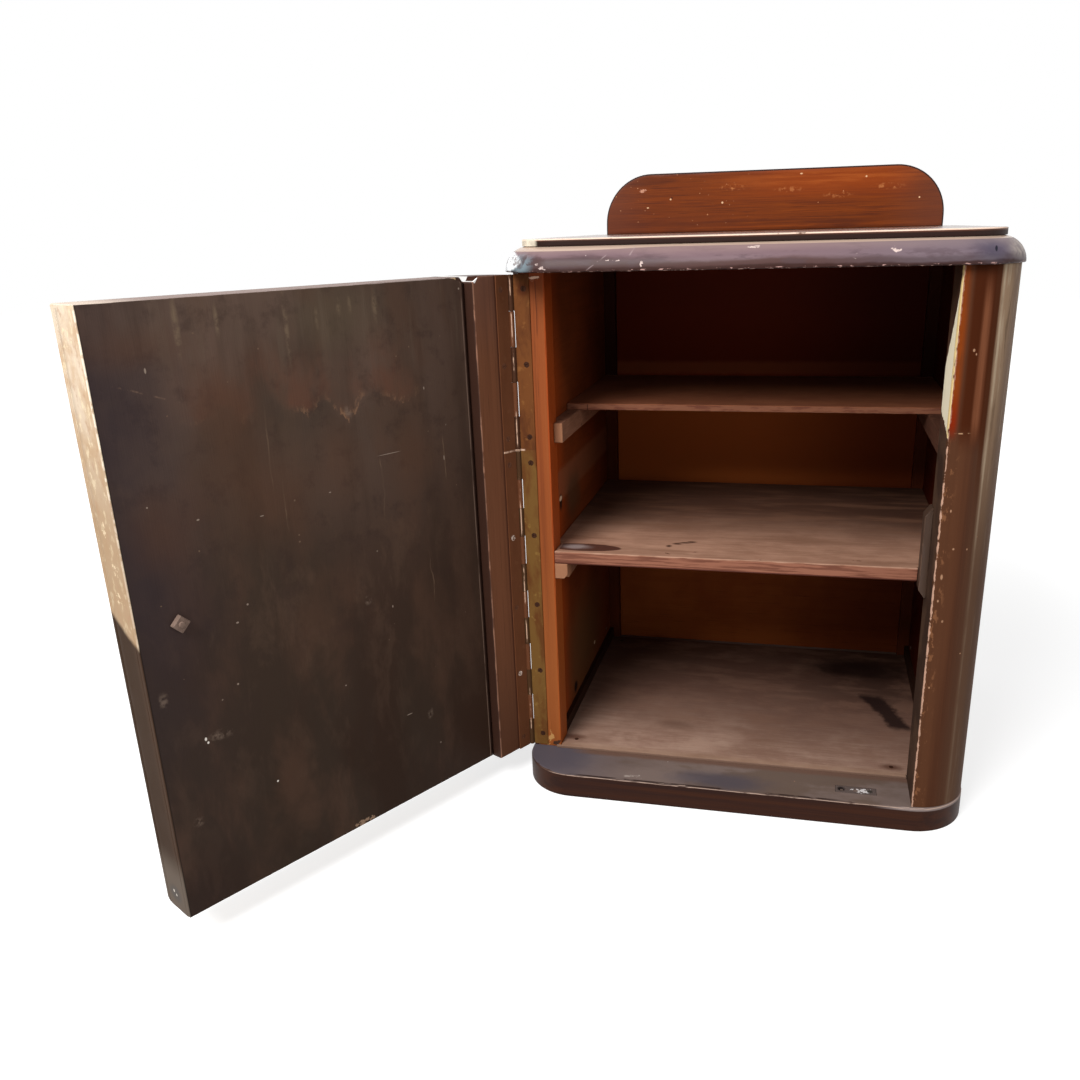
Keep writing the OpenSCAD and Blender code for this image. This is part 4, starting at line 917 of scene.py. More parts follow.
    # A painted highlight lies in places on the crest of the panel's rounded hinge-side edge; beyond it the round is
    # painted dark as shade.
    f.layer([f.band("x", -159.6, -158.8, 0.3, 0.5), f.cloud((60, 3), 0.4, 0.52, 0.1, 0.8, at=tall)], (132, 108, 94))
    f.layer(f.fade("x", -159.8, -160.8), (44, 28, 22))
    # A thin line of painted shade where the panel meets the free edge.
    f.layer([f.fade("y", -136.6, -136.1), f.fade("x", 152.2, 153.4)], (22, 16, 13))
    f.raise_by(f.noise(f.at, 50, 2), 0.5)
    f.raise_by(streak, 0.3)
    return free_edge(f)


def strip_finish():
    """Corner stile of the door: its flat strip is warm brown inside, its rounded outside dark varnish."""
    f = varnish("door_stile_varnish", "z", (114, 71, 48), (99, 60, 40), (124, 80, 56), 0.5, 1.4, 120, door=True)
    # Greyer towards the top: a painted sheen.
    f.layer(f.fade("z", 400, 480, 0, 0.5), (100, 70, 60))
    f.layer(f.fade("z", 200, 30, 0, 0.6), (76, 48, 34))
    outside = f.fade("y", -132.5, -129.5, 1, 0)
    f.layer(outside, (66, 36, 24), 0.4)
    # The step down to the panel is painted dark as shade, and its arris carries a painted highlight.
    step = f.fade("x", -165, -164.4)
    f.layer(step, (56, 34, 25), 0.6)
    f.layer([f.band("x", -165.6, -164.4, 0.25), f.maths("GREATER_THAN", f.y, -0.128),
             f.cloud((60, 4), 0.4, 0.52, 0.15, 0.8)], (150, 108, 86))
    f.layer([f.fade("x", -187, -189.5), f.maths("GREATER_THAN", f.y, -0.1275)], (66, 36, 24), 0.5)
    # The nick is painted white as the bright background seen through it: painted light.
    v = f.less(f.times(f.plain(f.maths("ADD", f.x, 0.1665)), 1.3), f.less(f.z, 0.4775))
    f.layer([f.span(v, 0.0006, -0.0002), f.fade("z", 477.5, 478.5)], (250, 247, 244), 0.8)
    return f.done(0.2, coat=0.05, coat_rough=0.25, specular=0.12)


def free_edge(f):
    """Bare wood on the free edge: cream above where sunlight is painted, dark below a slanting line of painted
    shadow, with a light margin.
    """
    edge = f.fade("x", 153, 153.7)
    streak = f.grain("z", 1, 60)[0]
    slant = f.scaled(f.y, 0.5, f.scaled(f.noise(f.at, 26, 3), 0.012, f.z))
    low = f.span(slant, 0.187, 0.194, 1, 0)
    high = f.less(1, low)
    fog = f.cloud((40, 5, 0.62), 0.38, 0.64)
    cream = f.mix(fog, (214, 196, 174), (194, 166, 136))
    cream = f.mix(f.fade("z", 320, 460, 0.9, 0), cream, (164, 136, 106))
    mottle = f.noise(f.stretch(1, 1, 0.6), 130, 5, 0.65)
    cream = f.mix(f.times(f.span(mottle, 0.54, 0.64, 0, 0.6), f.fade("z", 300, 420, 0.5, 1)), cream, (228, 212, 178))
    cream = f.mix(f.span(mottle, 0.44, 0.34, 0, 0.5), cream, (168, 132, 106))
    shadow_tone = f.mix(f.fade("y", -148, -139), (54, 38, 26), (66, 48, 36))
    shadow_tone = f.mix(f.times(fog, 0.4), shadow_tone, (60, 45, 35))
    shadow_tone = f.mix(f.fade("z", 85, 55), shadow_tone, (96, 84, 74))
    # Cream above is painted sunlight. The dark tone below the slanting line is painted shadow.
    f.layer(edge, f.mix(low, cream, shadow_tone), 0.7)
    f.layer([edge, high, f.span(streak, 0.5, 0.75, 0, 0.4)], (176, 140, 108))
    chips = f.most(*(f.scuff((154, y, z), (6, a, b), share, 260) for y, z, a, b, share in (
        (-156, 336, 6, 8, 0.45), (-150, 308, 6, 7, 0.45), (-158, 462, 12, 10, 0.4), (-152, 285, 8, 8, 0.4))))
    f.layer([edge, chips, high, 0.7], (230, 210, 176))
    f.layer([edge, high, f.fade("y", -138, -137.2), f.cloud((120, 4), 0.42, 0.52, 0.1, 0.9),
             f.fade("z", 300, 420, 0.35, 1)], (240, 226, 206))
    f.layer([edge, f.patch((154, -155, 41), (10, 8, 7), 0.8, 0.5, 90)], (72, 64, 58), 0.5)
    f.layer([edge, f.specks("y", "z", [(-157, 42.5, 1, 1.4), (-153.5, 40, 0.8, 1.2)])], (206, 196, 184), 0.35)
    # The door's top face is painted pale as sunlight, paler towards the free edge.
    top = f.times(f.fade("z", 481.2, 482.2), f.maths("GREATER_THAN", f.up, 0.4))
    f.layer(top, f.mix(f.fade("x", 100, 150), (150, 132, 126), (214, 196, 180)), 0.6)
    f.raise_by(streak, 0.5)
    return f.done(0.2, specular=0.06)


def door_front_finish():
    return free_edge(dark_varnish("door_front_varnish", "z", door=True))


def door_core_finish():
    """Bare wood of the rails and the lock stile inside the door."""
    f = Finish("door_core_wood", (206, 176, 138), 0.65, door=True)
    f.layer(f.span(f.grain("x", 1.2, 40)[0], 0.42, 0.7), (186, 152, 114))
    return free_edge(f)


def knob_finish():
    f = varnish("knob_varnish", "z", (74, 36, 20), (54, 26, 15), (100, 54, 32), 0.35, 0.7, 16, True)
    f.layer(f.flecks(160, 0.06, 0.2), (150, 116, 90), 0.6)
    return f.done(0.12, coat=0.12, coat_rough=0.15, specular=0.15)


def tarnished(name, colour, dark, light, rough, grit, amount=0.6):
    """Dull metal: tarnish in clouds and runs, brighter where it is rubbed."""
    f = Finish(name, colour, rough)
    cloud = f.noise(f.tall(0.35), grit, 5, 0.62, 0.3)
    f.layer(f.span(cloud, 0.42, 0.62, 0, amount), dark, min(1, rough + 0.2))
    f.layer(f.span(f.noise(f.at, grit * 2.2, 3), 0.6, 0.72, 0, 0.6), light, rough * 0.8)
    f.raise_by(cloud, 0.5)
    return f


def metal(name, colour, dark, light, rough, grit, amount, metallic):
    return tarnished(name, colour, dark, light, rough, grit, amount).done(0.08, metal=metallic, specular=0.2)


def leaf(name, colour, dark, light, knuckle):
    """A hinge leaf: rusty clouds, darker knuckles with a painted highlight along the crest, a dark halo round the top
    screw.
    """
    f = tarnished(name, colour, dark, light, 0.55, 60, 0.9)
    uneven = f.noise(f.tall(0.3), 120, 4, 0.6)
    f.layer(f.fade("x", -203.4, -204, 0, 0.9), knuckle, 0.6)
    f.layer([f.band("x", -206.4, -205.6, 0.25), f.span(uneven, 0.5, 0.57)], (206, 168, 142), 0.4)
    f.layer([f.patch((-195, -125, 470.6), (5.5, 6, 5.5), 0.5, 0.5, 150), 0.8], (78, 36, 16), 0.7)
    # A pale painted highlight where the two hinges meet.
    f.layer([f.band("z", 328.3, 329.9, 0.3), f.span(uneven, 0.34, 0.46), f.fade("x", -199, -201)], (200, 166, 142),
            0.5)
    return f.done(0.08, specular=0.08)


def door_screw():
    """Rusty like the others, but two of the heads are rubbed bright."""
    f = tarnished("door_screw_steel", (100, 62, 42), (70, 40, 26), (124, 84, 60), 0.6, 300)
    heads = f.most(f.band("z", 243, 251.5, 0.5), f.band("z", 103.5, 112, 0.5))
    f.layer([heads, f.cloud((420, 3), 0.42, 0.55)], (216, 198, 184), 0.35)
    return f.done(0.08, metal=0.2, specular=0.2)


def strike_finish():
    """The strike plate, grimy but for the part that the ball rubs bright, where a glint is painted too; its hole is
    painted dark as shade.
    """
    f = Finish("strike_steel", (104, 90, 85), 0.5)
    f.layer(f.scuff((115.5, -154, 24), (10, 3.8, 4), 0.8, 330), (236, 230, 228), 0.35)
    f.layer(f.patch((97, -153.5, 24), (3.4, 3.4, 4), 0.5, 0.4, 200), (22, 14, 12), 0.8)
    return f.done(0.1, metal=0.2, specular=0.2)


def metals():
    return {
        "steel": metal("worn_steel", (128, 120, 112), (74, 54, 42), (214, 210, 204), 0.4, 300, 0.6, 0.8),
        "pin": metal("pin_steel", (140, 114, 92), (44, 30, 24), (236, 226, 214), 0.45, 200, 1, 0.3),
        "strike": strike_finish(),
        "rust": metal("rusty_steel", (56, 28, 13), (42, 20, 9), (92, 56, 32), 0.8, 300, 0.6, 0),
        "door_screw": door_screw(),
        "nut": metal("painted_steel", (126, 104, 92), (100, 80, 70), (152, 130, 116), 0.7, 300, 0.5, 0),
        "frame_up": leaf("upper_leaf_brass", (106, 62, 30), (84, 46, 24), (134, 88, 46), (62, 38, 26)),
        "frame_low": leaf("lower_leaf_brass", (110, 78, 38), (94, 54, 26), (140, 108, 56), (66, 44, 28)),
        "door_leaf": leaf("door_leaf_brass", (118, 72, 46), (56, 28, 14), (164, 120, 90), (100, 60, 38)),
        "barrel": metal("barrel_brass", (146, 116, 64), (92, 64, 36), (190, 160, 100), 0.4, 300, 0.6, 0.8),
    }


# ---- Cabinet -----------------------------------------------------------------------------------------
def base_board():
    """The base board, with the shallow seat of the strike plate sunk into its top face."""
    corners = box(-205, FRONT - 2.5, 205, BACK)
    grid, wear = rings(corners, [48.5, 48.5, 0.8, 0.8], 0, BASE_T, (1.0, 1.4), guard=1.4, step=5.0, rise=9.0, arc=14,
                       turns=4)
    grid = chipped(grid, wear * (grid[..., 2] > 12), 0.7, 11.0, 3)
    half = np.array([18.3, 5.8])
    way = grid[-1, :, :2] - CATCH
    seat = way / np.abs(way / half).max(1, keepdims=True)
    for corner in half * [[-1, -1], [1, -1], [1, 1], [-1, 1]]:
        seat[np.linalg.norm(seat - corner, axis=1).argmin()] = corner
    seat = np.stack([np.column_stack([seat + CATCH, np.full(len(seat), z)]) for z in (BASE_T, BASE_T - 1)])
    return skin(np.vstack([grid, seat]), np.vstack([wear, 0 * seat[..., 0]]))


def floor_board():
    corners = [(-WALL_X + 0.3, STRIP_Y), (POST_X - 0.3, STRIP_Y), (POST_X - 0.3, POST_BACK + 0.3),
               (WALL_X - 0.3, POST_BACK + 0.3), (WALL_X - 0.3, BACK_POST_Y), (-WALL_X + 0.3, BACK_POST_Y),
               (-WALL_X + 0.3, STILE_BACK), (-STILE_X + 0.3, STILE_BACK), (-STILE_X + 0.3, -124.0),
               (-WALL_X + 0.3, -124.0)]
    return board(corners, [0.4] * 10, BASE_T, FLOOR_Z, (0.3, 0.5), guard=0.5, step=6.0, chips=(0.4, 14.0, 5))


def corner_post():
    """The right corner post. Its inner front arris has lost splinters all the way down."""
    corners = box(POST_X, FRONT, HALF_W, POST_BACK)
    grid, wear = rings(corners, [0.9, 46.0, 0.8, 0.8], BASE_T, TOP_Z, (0.3, 0.3), guard=0.5, step=8.0, rise=3.0,
                       arc=16)
    near = np.linalg.norm(grid[..., :2] - [POST_X, FRONT], axis=-1)
    return skin(chipped(grid, np.clip(1.6 - near / 2.2, 0, 1), 0.8, 9.0, 8), wear)


def moulding():
    """The quarter-round moulding: its profile at inset q and height h is carried along the top's edge,
    from the right back corner round the front to the left one; round the corners only the radius shrinks
    by q. The dent in it is a Gaussian dip towards the inside."""
    half, front, r, t = 206.5, -180.5, 52.0, 20.0
    side, run = np.linspace(BACK, front + r, 60), np.linspace(half - r, r - half, 90)[1:]
    turn = np.linspace(0, np.pi / 2, 26)[1:]
    centre = np.vstack([
        np.column_stack([0 * side + half - r, side]), np.tile([half - r, front + r], (25, 1)),
        np.column_stack([run, 0 * run + front + r]), np.tile([r - half, front + r], (25, 1)),
        np.column_stack([0 * side[1:] + r - half, side[::-1][1:]])])
    out = np.vstack([np.tile([1.0, 0.0], (60, 1)), np.column_stack([np.cos(turn), -np.sin(turn)]),
                     np.tile([0.0, -1.0], (89, 1)), np.column_stack([-np.sin(turn), -np.cos(turn)]),
                     np.tile([-1.0, 0.0], (59, 1))])
    low, a = np.linspace(0, np.pi / 2, 5), np.linspace(0.06, np.pi / 2, 18)
    q = np.concatenate([[t, 14, 5, 2], 0.9 * (1 - np.sin(low)), t - t * np.cos(a)])
    h = np.concatenate([[0, 0, 0, 0], 0.9 * (1 - np.cos(low)), t * np.sin(a)])
    worn = np.concatenate([[0, 0, 0, 0.3], 0.4 + 0.6 * np.sin(2 * low), np.zeros(16), [0.5, 0.3]])
    grid = np.stack([np.column_stack([centre + out * (r - inset), np.full(len(centre), TOP_Z + rise)])
                     for inset, rise in zip(q, h)], 1)
    dent = 1.3 * np.exp(-((grid - DENT) ** 2).sum(-1) / 9.0)
    grid[..., :2] -= out[:, None] * dent[..., None]
    wear = np.tile(worn, (len(grid), 1))
    return skin(chipped(grid, wear * (h < 3), 0.9, 9.0, 11), wear)


def top_panel():
    """The thin raised panel, with the seat of the upstand cut into its back edge."""
    x, y = 191.5, FRONT - 8 + 15
    low = board(box(-x, y, x, BACK), [37, 37, 0.6, 0.6], PANEL_Z, CAP_Z - 1, (0.2, 0.02), step=5.0, rise=9.0, arc=12)
    side, rear = UPSTAND_X + 0.3, UPSTAND_Y - 0.3
    seat = [(-x, y), (x, y), (x, BACK), (side, BACK), (side, rear), (-side, rear), (-side, BACK), (-x, BACK)]
    top = board(seat, [37, 37, 0.6, 0.3, 0.3, 0.3, 0.3, 0.6], CAP_Z - 1.02, CAP_Z, (0.02, 0.9), guard=1.6, step=5.0,
                rise=9.0, arc=12, chips=(0.7, 9.0, 21))
    return joined(low, top)


def upstand():
    """The low back board with round upper corners and softened edges."""
    corners = box(-UPSTAND_X, CAP_Z - 1, UPSTAND_X, UPSTAND_TOP)
    return board(corners, [0.4, 0.4, 50, 50], UPSTAND_Y, BACK, (1.8, 1.4), step=9.0, rise=20, arc=18, turns=5,
                 along="y", chips=(0.5, 18.0, 31))


def shelf(y0, z0, z1, notched, seed):
    """A shelf board with a slightly ragged front edge."""
    x = WALL_X - 0.3
    back = BACK_POST_Y - 0.3
    if notched:
        stop = -119.2
        corners = [(-176.2, y0), (150.2, y0), (150.2, stop), (x, stop), (x, back), (-x, back), (-x, STILE_BACK),
                   (-176.2, STILE_BACK)]
    else:
        corners = box(-x, y0, x, back)
    return board(corners, [0.7] * len(corners), z0, z1, (0.5, 0.6), guard=1.2, step=4.0, rise=8.0,
                 chips=(0.45, 8.0, seed))


def middle_left_runner():
    """Runner with sawn ends; the lower right corner of its front end is chamfered."""
    x0, x1, z0, z1 = -WALL_X, -WALL_X + 17, *MIDDLE_Z[:2]
    corners = box(x0, z0, x1, z1)
    grid, wear = rings(corners, [0.5] * 4, STILE_Y + 0.01, BACK_POST_Y, (0.5, 0.5), step=2.0, rise=3.0, along="y")
    over = grid[..., 0] - x1 - (grid[..., 2] - z0) + 5.0 - np.maximum(grid[..., 1] + 120.2, 0) * 3
    cut = np.maximum(over, 0) / 2
    grid[..., 0] -= cut
    grid[..., 2] += cut
    grid[..., 0] += (grid[..., 1] < STILE_BACK) * 4.8 / 17 * (x1 - grid[..., 0])
    return skin(chipped(grid, wear, 0.5, 9.0, 41), wear)


def right_runner(z0, z1, seed):
    return board(box(POST_X, z0, WALL_X, z1), [0.7] * 4, POST_BACK, BACK_POST_Y, (0.7, 0.7), step=5.0, rise=7.0,
                 along="y", chips=(0.7, 9.0, seed))


def upper_left_runner():
    """Notched behind the stile, so it starts at the stile's side and widens to the liner behind it."""
    x1 = -WALL_X + 13
    grid, wear = rings(box(-WALL_X, UPPER_Z[0], x1, UPPER_Z[1]), [0.7] * 4, STILE_Y + 14, BACK_POST_Y, (0.7, 0.7),
                       step=4.0, rise=3.0, along="y")
    grid = chipped(grid, wear, 0.7, 9.0, 43)
    grid[..., 0] += (grid[..., 1] < STILE_BACK) * 4.8 / 13 * (x1 - grid[..., 0])
    return skin(grid, wear)


def door_stop():
    corners = [(150.5, 216), (POST_X, 207), (POST_X, 291), (150.5, 282)]
    return board(corners, [0.8] * 4, -135.5, -119.5, (0.6, 0.8), step=6.0, rise=6, along="y", chips=(0.6, 10.0, 51))


# ---- Door, drawn closed ------------------------------------------------------------------------------
def door_stile():
    """The door's quarter-round hinge stile with its rebate and the nick at its upper inner corner."""
    corners = [(-HALF_W, FRONT), (RAIL_X, FRONT), (RAIL_X, CORE_Y), (-164, CORE_Y), (-164, STRIP_Y),
               (-HALF_W, STRIP_Y)]
    grid, wear = rings(corners, [44.6, 0.8, 0.3, 0.3, 1.0, 1.0], DOOR_Z, DOOR_TOP, (0.6, 0.6), guard=0.5, step=6.0,
                       rise=5.0, arc=14)
    grid = chipped(grid, wear, 0.5, 22.0, 61)
    limit = DOOR_TOP - np.clip(grid[..., 0] + 169, 0, 5) * np.clip((grid[..., 1] + 141) / 1.0, 0, 1)
    grid[..., 2] = np.minimum(grid[..., 2], limit)
    return skin(grid, wear)


def door_back():
    """The inner panel: its section, drawn in plan, has a broad soft round on the hinge side."""
    corners = box(-163.9, CORE_Y, DOOR_X, DOOR_IN)
    grid, wear = rings(corners, [0.2, 0.3, 0.6, 3.2], DOOR_Z + 1.5, DOOR_TOP, (0.4, 0.4), guard=0.3, step=4.0,
                       rise=6.0, arc=6)
    grid = chipped(grid, wear, 0.4, 9.0, 63)
    # Its upper corner beside the hinge is broken off at a slant.
    grid[..., 2] = np.minimum(grid[..., 2], DOOR_TOP - 0.55 * np.clip(-150.7 - grid[..., 0], 0, 8.3))
    return skin(grid, wear)


def door_front():
    """The outer panel; its lower edge is rounded, as a section in y and z carried along x."""
    corners = box(FRONT, DOOR_Z, SKIN_Y, DOOR_TOP)
    return board(corners, [4.4, 0.2, 0.2, 1.4], RAIL_X, DOOR_X, (0.3, 0.9), guard=0.8, step=12.0, rise=12.0, arc=6,
                 along="x", chips=(0.4, 16.0, 65))


def lock_stile():
    """Its lower front arris is rounded on from the outer panel."""
    corners = box(SKIN_Y, DOOR_Z, CORE_Y, DOOR_TOP)
    return board(corners, [0.4, 0.6, 0.4, 0.4], LOCK_X, DOOR_X, (0.2, 0.7), guard=1.8, step=5.0, rise=12.0, along="x",
                 chips=(0.5, 10.0, 67))


def door_rail(z0, z1):
    return block((RAIL_X, SKIN_Y, z0), (LOCK_X, CORE_Y, z1), corner=0.4, edge=(0.5, 0.5), step=12.0)


def knob():
    """A turned knob: waisted neck, then a rim that rolls over into a shallow dome."""
    a = np.linspace(0, np.pi / 2, 9)[1:-1]
    profile = [(2.45, 0.0), (9.1, 0.0), (9.3, 0.3), (9.2, 8.6), (9.8, 10.2), (11.8, 11.2), (13.4, 12.0),
               (13.95, 13.0), (14.4, 14.2), *zip(15 * np.cos(a), 14.4 + 9.6 * np.sin(a)), (0.4, 24.0)]
    return placed(skin(*turned(profile, 48)), [(1, 0, 0), (0, 0, 1), (0, -1, 0)], (KNOB_X, FRONT, KNOB_Z))


def bolt():
    """The bolt's shank, with a rounded rough end that stands out of the nut."""
    profile = [(0.6, -16.8), (2.4, -16.8), (2.4, 41.0), (2.0, 41.9), (1.1, 42.1), (0.4, 42.1)]
    return placed(skin(*turned(profile, 24)), [(1, 0, 0), (0, 0, -1), (0, 1, 0)], (KNOB_X, FRONT, KNOB_Z))


def nut():
    """A square nut on its corner: rings run up its outside and back down its bore."""
    half = 10 / math.sqrt(2)
    corners = [(0, -half), (half, 0), (0, half), (-half, 0)]
    lines = [outline(corners, [0.8] * 4, inset, 1.4, 0.8, 3)[0] for inset in (0.4, 0.0, 0.0, 0.9)]
    bore = unit(lines[0]) * 2.45
    grid = np.stack([np.column_stack([line, np.full(len(line), h)])
                     for line, h in zip(lines + [bore, bore], (0.0, 0.4, 3.2, 4.0, 4.0, 0.0))])
    return placed(skin(grid, 0 * grid[..., 0], closed=True), [(1, 0, 0), (0, 0, -1), (0, 1, 0)],
                  (KNOB_X, DOOR_IN, KNOB_Z))


def screw_head(seed):
    """A countersunk screw: rings from its point over the head; the head's face sinks by the slot's depth
    wherever the distance from the slot's middle line is under half its width."""
    a = np.linspace(0, 2 * np.pi, 48, endpoint=False)
    r = np.array([0.5, 1.2, 1.3, 1.3, 2.4, 2.6, 2.5, 2.2, 1.7, 1.2, 0.8, 0.5, 0.3])
    z = np.array([-13, -12.2, -11, -1.2, -0.25, -0.05, 0, 0.02, 0.05, 0.06, 0.06, 0.06, 0.06])
    grid = np.stack([r[:, None] * np.cos(a), r[:, None] * np.sin(a), z[:, None] + 0 * a], -1)
    face = (np.arange(len(r)) > 5)[:, None]
    turn = seed * 1.1
    off = np.abs(grid[..., 0] * math.sin(turn) - grid[..., 1] * math.cos(turn))
    grid[..., 2] -= face * 0.55 * np.clip((0.5 - off) / 0.15, 0, 1)
    return skin(grid, 0 * grid[..., 0])


def leaf_screws(face):
    """Screws of one row of leaves: face 1 looks out of the cabinet's stile, face -1 out of the door."""
    heights = [*np.linspace(DOOR_Z + 12, 317, 5), *np.linspace(341, DOOR_TOP - 12, 3)]
    y = STILE_Y - 1.2 if face > 0 else STRIP_Y + 1.2
    axes = [(1, 0, 0), (0, 0, 1), (0, -1, 0)] if face > 0 else [(1, 0, 0), (0, 0, -1), (0, 1, 0)]
    return joined(*[placed(screw_head(k), axes, (PIN[0] + 11.5, y, z)) for k, z in enumerate(heights)])


# ---- Assembly ----------------------------------------------------------------------------------------
def dress():
    side, steel = side_finish(), metals()
    bare, timber, wall, back = runner_finish(), timber_finish(), wall_finish(), back_finish()
    core, cleat = door_core_finish(), cleat_finish()
    cabinet = [
        ("base_board_piece", base_board(), "varnished_wood", base_finish(), "base_board"),
        ("floor_board_piece", floor_board(), "bare_wood", floor_finish(), "floor_board"),
        ("left_side_piece", block((-HALF_W, STILE_Y, BASE_T), (-HALF_W + 5, BACK, TOP_Z), guard=1.0, edge=(0.4, 0.4)),
         "varnished_wood", side, "left_side_panel"),
        ("right_side_piece", block((HALF_W - 5, POST_BACK, BASE_T), (HALF_W, BACK, TOP_Z), guard=1.0,
                                   edge=(0.4, 0.4)), "varnished_wood", side, "right_side_panel"),
        ("front_stile_piece", block((-HALF_W + 5, STILE_Y, BASE_T), (-STILE_X, STILE_Y + 26, TOP_Z), rise=8.0,
                                    step=4.0, edge=(0.4, 0.4), chips=(0.6, 15.0, 7)),
         "stile_wood", stile_finish(), "left_front_stile"),
        ("corner_post_piece", corner_post(), "varnished_wood", post_finish(), "right_corner_post"),
        ("moulding_piece", moulding(), "top_varnish", moulding_finish(), "top_moulding"),
        ("top_panel_piece", top_panel(), "top_varnish", panel_finish(), "top_panel"),
        ("upstand_piece", upstand(), "upstand_wood", upstand_finish(), "upstand"),
        ("upper_shelf_piece", shelf(-38.7, *UPPER_Z[1:], False, 23), "bare_wood", upper_shelf_finish(),
         "upper_shelf"),
        ("middle_shelf_piece", shelf(STILE_Y, *MIDDLE_Z[1:], True, 25), "bare_wood", middle_shelf_finish(),
         "middle_shelf"),
        ("upper_left_runner_piece", upper_left_runner(), "bare_wood", bare, "upper_left_runner"),
        ("upper_right_runner_piece", right_runner(*UPPER_Z[:2], 45), "bare_wood", bare, "upper_right_runner"),
        ("middle_left_runner_piece", middle_left_runner(), "bare_wood", bare, "middle_left_runner"),
        ("middle_right_runner_piece", right_runner(*MIDDLE_Z[:2], 47), "bare_wood", bare, "middle_right_runner"),
        ("door_stop_piece", door_stop(), "varnished_wood", stop_finish(), "door_stop"),
        ("frame_screws_piece", leaf_screws(1), "steel", steel["rust"], "frame_leaf_screws"),
    ]
    door = [
        ("door_stile_piece", door_stile(), "door_varnish", strip_finish(), "door_corner_stile"),
        ("door_inner_piece", door_back(), "door_varnish", door_inner_finish(), "door_back_panel"),
        ("door_outer_piece", door_front(), "door_varnish", door_front_finish(), "door_front_panel"),
        ("lock_stile_piece", lock_stile(), "door_core_wood", core, "door_lock_stile"),
        ("top_rail_piece", door_rail(441, DOOR_TOP), "door_core_wood", core, "door_top_rail"),
        ("lock_rail_piece", door_rail(237, 287), "door_core_wood", core, "door_lock_rail"),
        ("bottom_rail_piece", door_rail(DOOR_Z, 68), "door_core_wood", core, "door_bottom_rail"),
        ("knob_piece", knob(), "knob_wood", knob_finish(), "knob"),
        ("knob_bolt_piece", bolt(), "steel", steel["nut"], "knob_bolt"),
        ("knob_nut_piece", nut(), "steel", steel["nut"], "knob_nut"),
        ("door_screws_piece", leaf_screws(-1), "steel", steel["door_screw"], "door_leaf_screws"),
    ]
    for body, rows in (("cabinet", cabinet), ("door", door)):
        for name, part, slot, finish, node in rows:
            piece(name, part, body, slot, finish, node)
    kept = [
        (wall, "left_side_liner", "right_side_liner"),
        (timber, "left_wall_rails", "right_wall_rails", "left_back_post", "right_back_post"),
        (cleat, "left_floor_cleat", "right_floor_cleat"),
        (back, "back_panel"), (side, "top_core"), (bare, "upstand_dowels"),
        (steel["rust"], "floor_nails", "back_nails"),
        (steel["steel"], "liner_nails", "strike_screw", "catch_spring", "catch_ball"),
        (steel["strike"], "strike_plate"), (steel["pin"], "upper_hinge_pin", "lower_hinge_pin"),
        (steel["frame_up"], "upper_hinge_frame_leaf"), (steel["frame_low"], "lower_hinge_frame_leaf"),
        (steel["door_leaf"], "upper_hinge_door_leaf", "lower_hinge_door_leaf"), (steel["barrel"], "catch_barrel"),
    ]
    for finish, *nodes in kept:
        for node in nodes:
            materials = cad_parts[node].data.materials
            materials.clear()
            materials.append(finish)


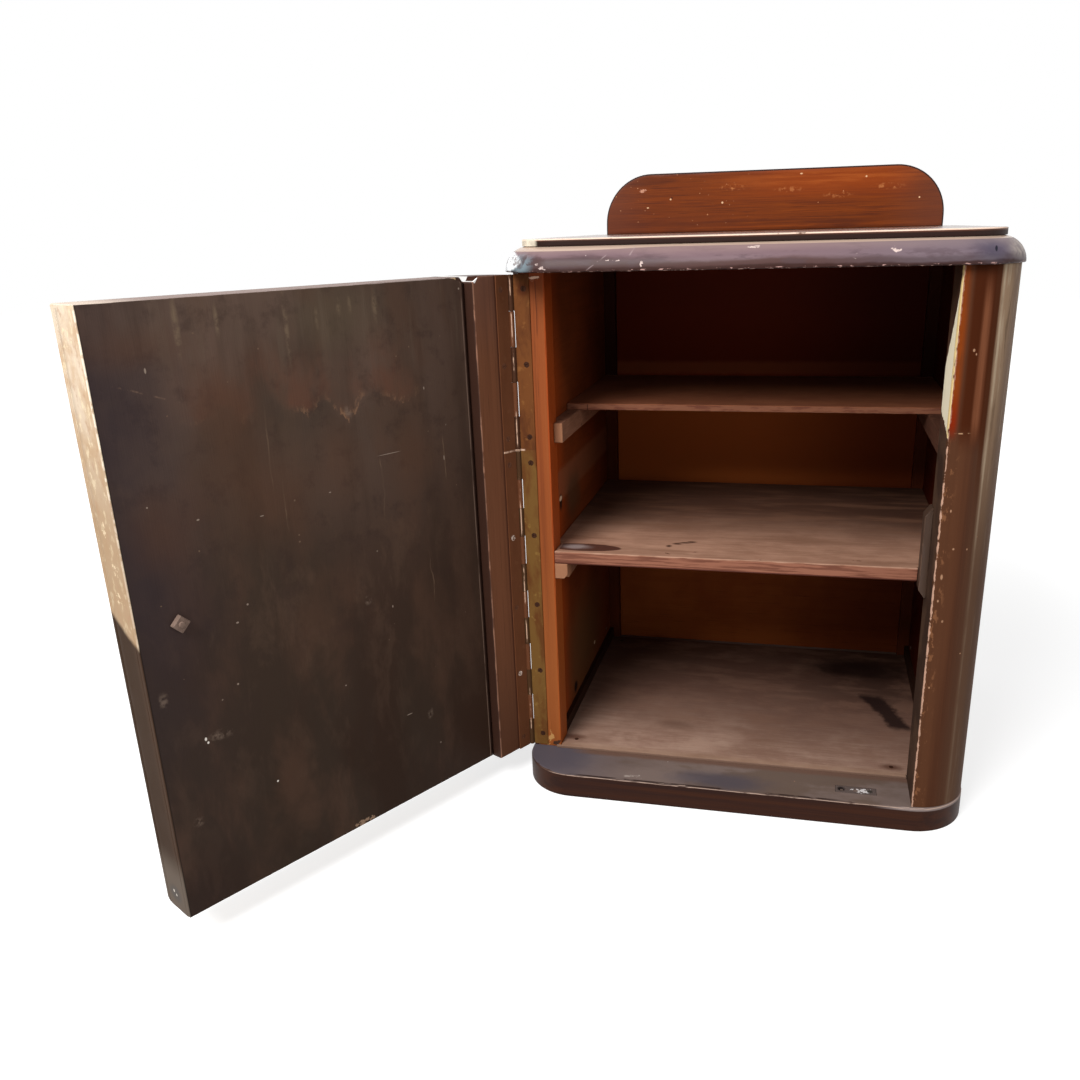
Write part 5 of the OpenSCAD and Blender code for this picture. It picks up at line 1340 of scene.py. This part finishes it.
# ---- Stage, lamps and camera -------------------------------------------------------------------------
def stage():
    """A pale floor that shows white to the camera and keeps a soft shadow."""
    mesh = bpy.data.meshes.new("studio_floor")
    mesh.from_pydata([(-6, -6, 0), (6, -6, 0), (6, 6, 0), (-6, 6, 0)], [], [(0, 1, 2, 3)])
    floor = bpy.data.objects.new("studio_floor", mesh)
    bpy.context.scene.collection.objects.link(floor)
    mat = bpy.data.materials.new("studio_floor_white")
    mat.use_nodes = True
    w = Web(mat.node_tree)
    w.tree.nodes.clear()
    path = w.put("LightPath", {})
    seen = w.most(path.outputs["Is Camera Ray"], path.outputs["Is Glossy Ray"])
    matt = w.put("BsdfDiffuse", {"Color": (0.5, 0.5, 0.5, 1)})
    away = w.vectors("LENGTH", w.put("TexCoord", {}).outputs["Object"])
    glow = w.put("Emission", {"Color": (1, 1, 1, 1), "Strength": w.times(seen, w.span(away, 0.35, 1.3, 0.7, 1.0))})
    both = w.put("AddShader", {0: matt.outputs[0], 1: glow.outputs[0]})
    w.tree.links.new(both.outputs[0], w.put("OutputMaterial", {}).inputs[0])
    mesh.materials.append(mat)

    world = bpy.data.worlds.new("studio")
    bpy.context.scene.world = world
    world.use_nodes = True
    w = Web(world.node_tree)
    w.tree.nodes.clear()
    path = w.put("LightPath", {})
    seen = w.most(path.outputs["Is Camera Ray"], path.outputs["Is Transmission Ray"])
    seen = w.most(seen, path.outputs["Is Glossy Ray"])
    sky = w.put("Background", {"Color": (1, 1, 1, 1), "Strength": w.between(seen, 0.36, 1.0)})
    w.tree.links.new(sky.outputs[0], w.put("OutputWorld", {}).inputs[0])


def standing(*columns):
    """The matrix whose columns are the turned x, y and z axes and the place."""
    return Matrix(np.column_stack(columns).tolist() + [[0, 0, 0, 1]])


def lamp(name, at, to, size, watts):
    data = bpy.data.lights.new(name, "AREA")
    data.shape, data.size, data.energy = "DISK", size, watts
    obj = bpy.data.objects.new(name, data)
    bpy.context.scene.collection.objects.link(obj)
    back = unit(np.array(at, float) - np.array(to, float))
    right = unit(np.cross([0, 0, 1], back))
    obj.matrix_world = standing(right, np.cross(back, right), back, at)


def camera():
    """Solved from the photograph's edges: where it stood, how it was turned and its focal length."""
    data = bpy.data.cameras.new("photo_camera")
    data.sensor_width, data.lens = 36.0, 32.317
    data.shift_x, data.shift_y = -0.0375, 0.0237
    obj = bpy.data.objects.new("photo_camera", data)
    right, up = (0.9745832, 0.22240304, -0.02691596), (-0.04830966, 0.32595978, 0.94414851)
    back = (0.21875502, -0.91885097, 0.32841914)
    obj.matrix_world = standing(right, up, back, (0.0484, -0.9622, 0.5189))
    bpy.context.scene.collection.objects.link(obj)
    bpy.context.scene.camera = obj


dress()
stage()
lamp("key_lamp", (-0.85, -1.75, 1.8), (0, 0, 0.25), 1.2, 62)
lamp("fill_lamp", (1.7, -1.2, 1.0), (0, 0, 0.3), 1.0, 8)
camera()
bpy.context.scene.view_settings.view_transform = "Standard"
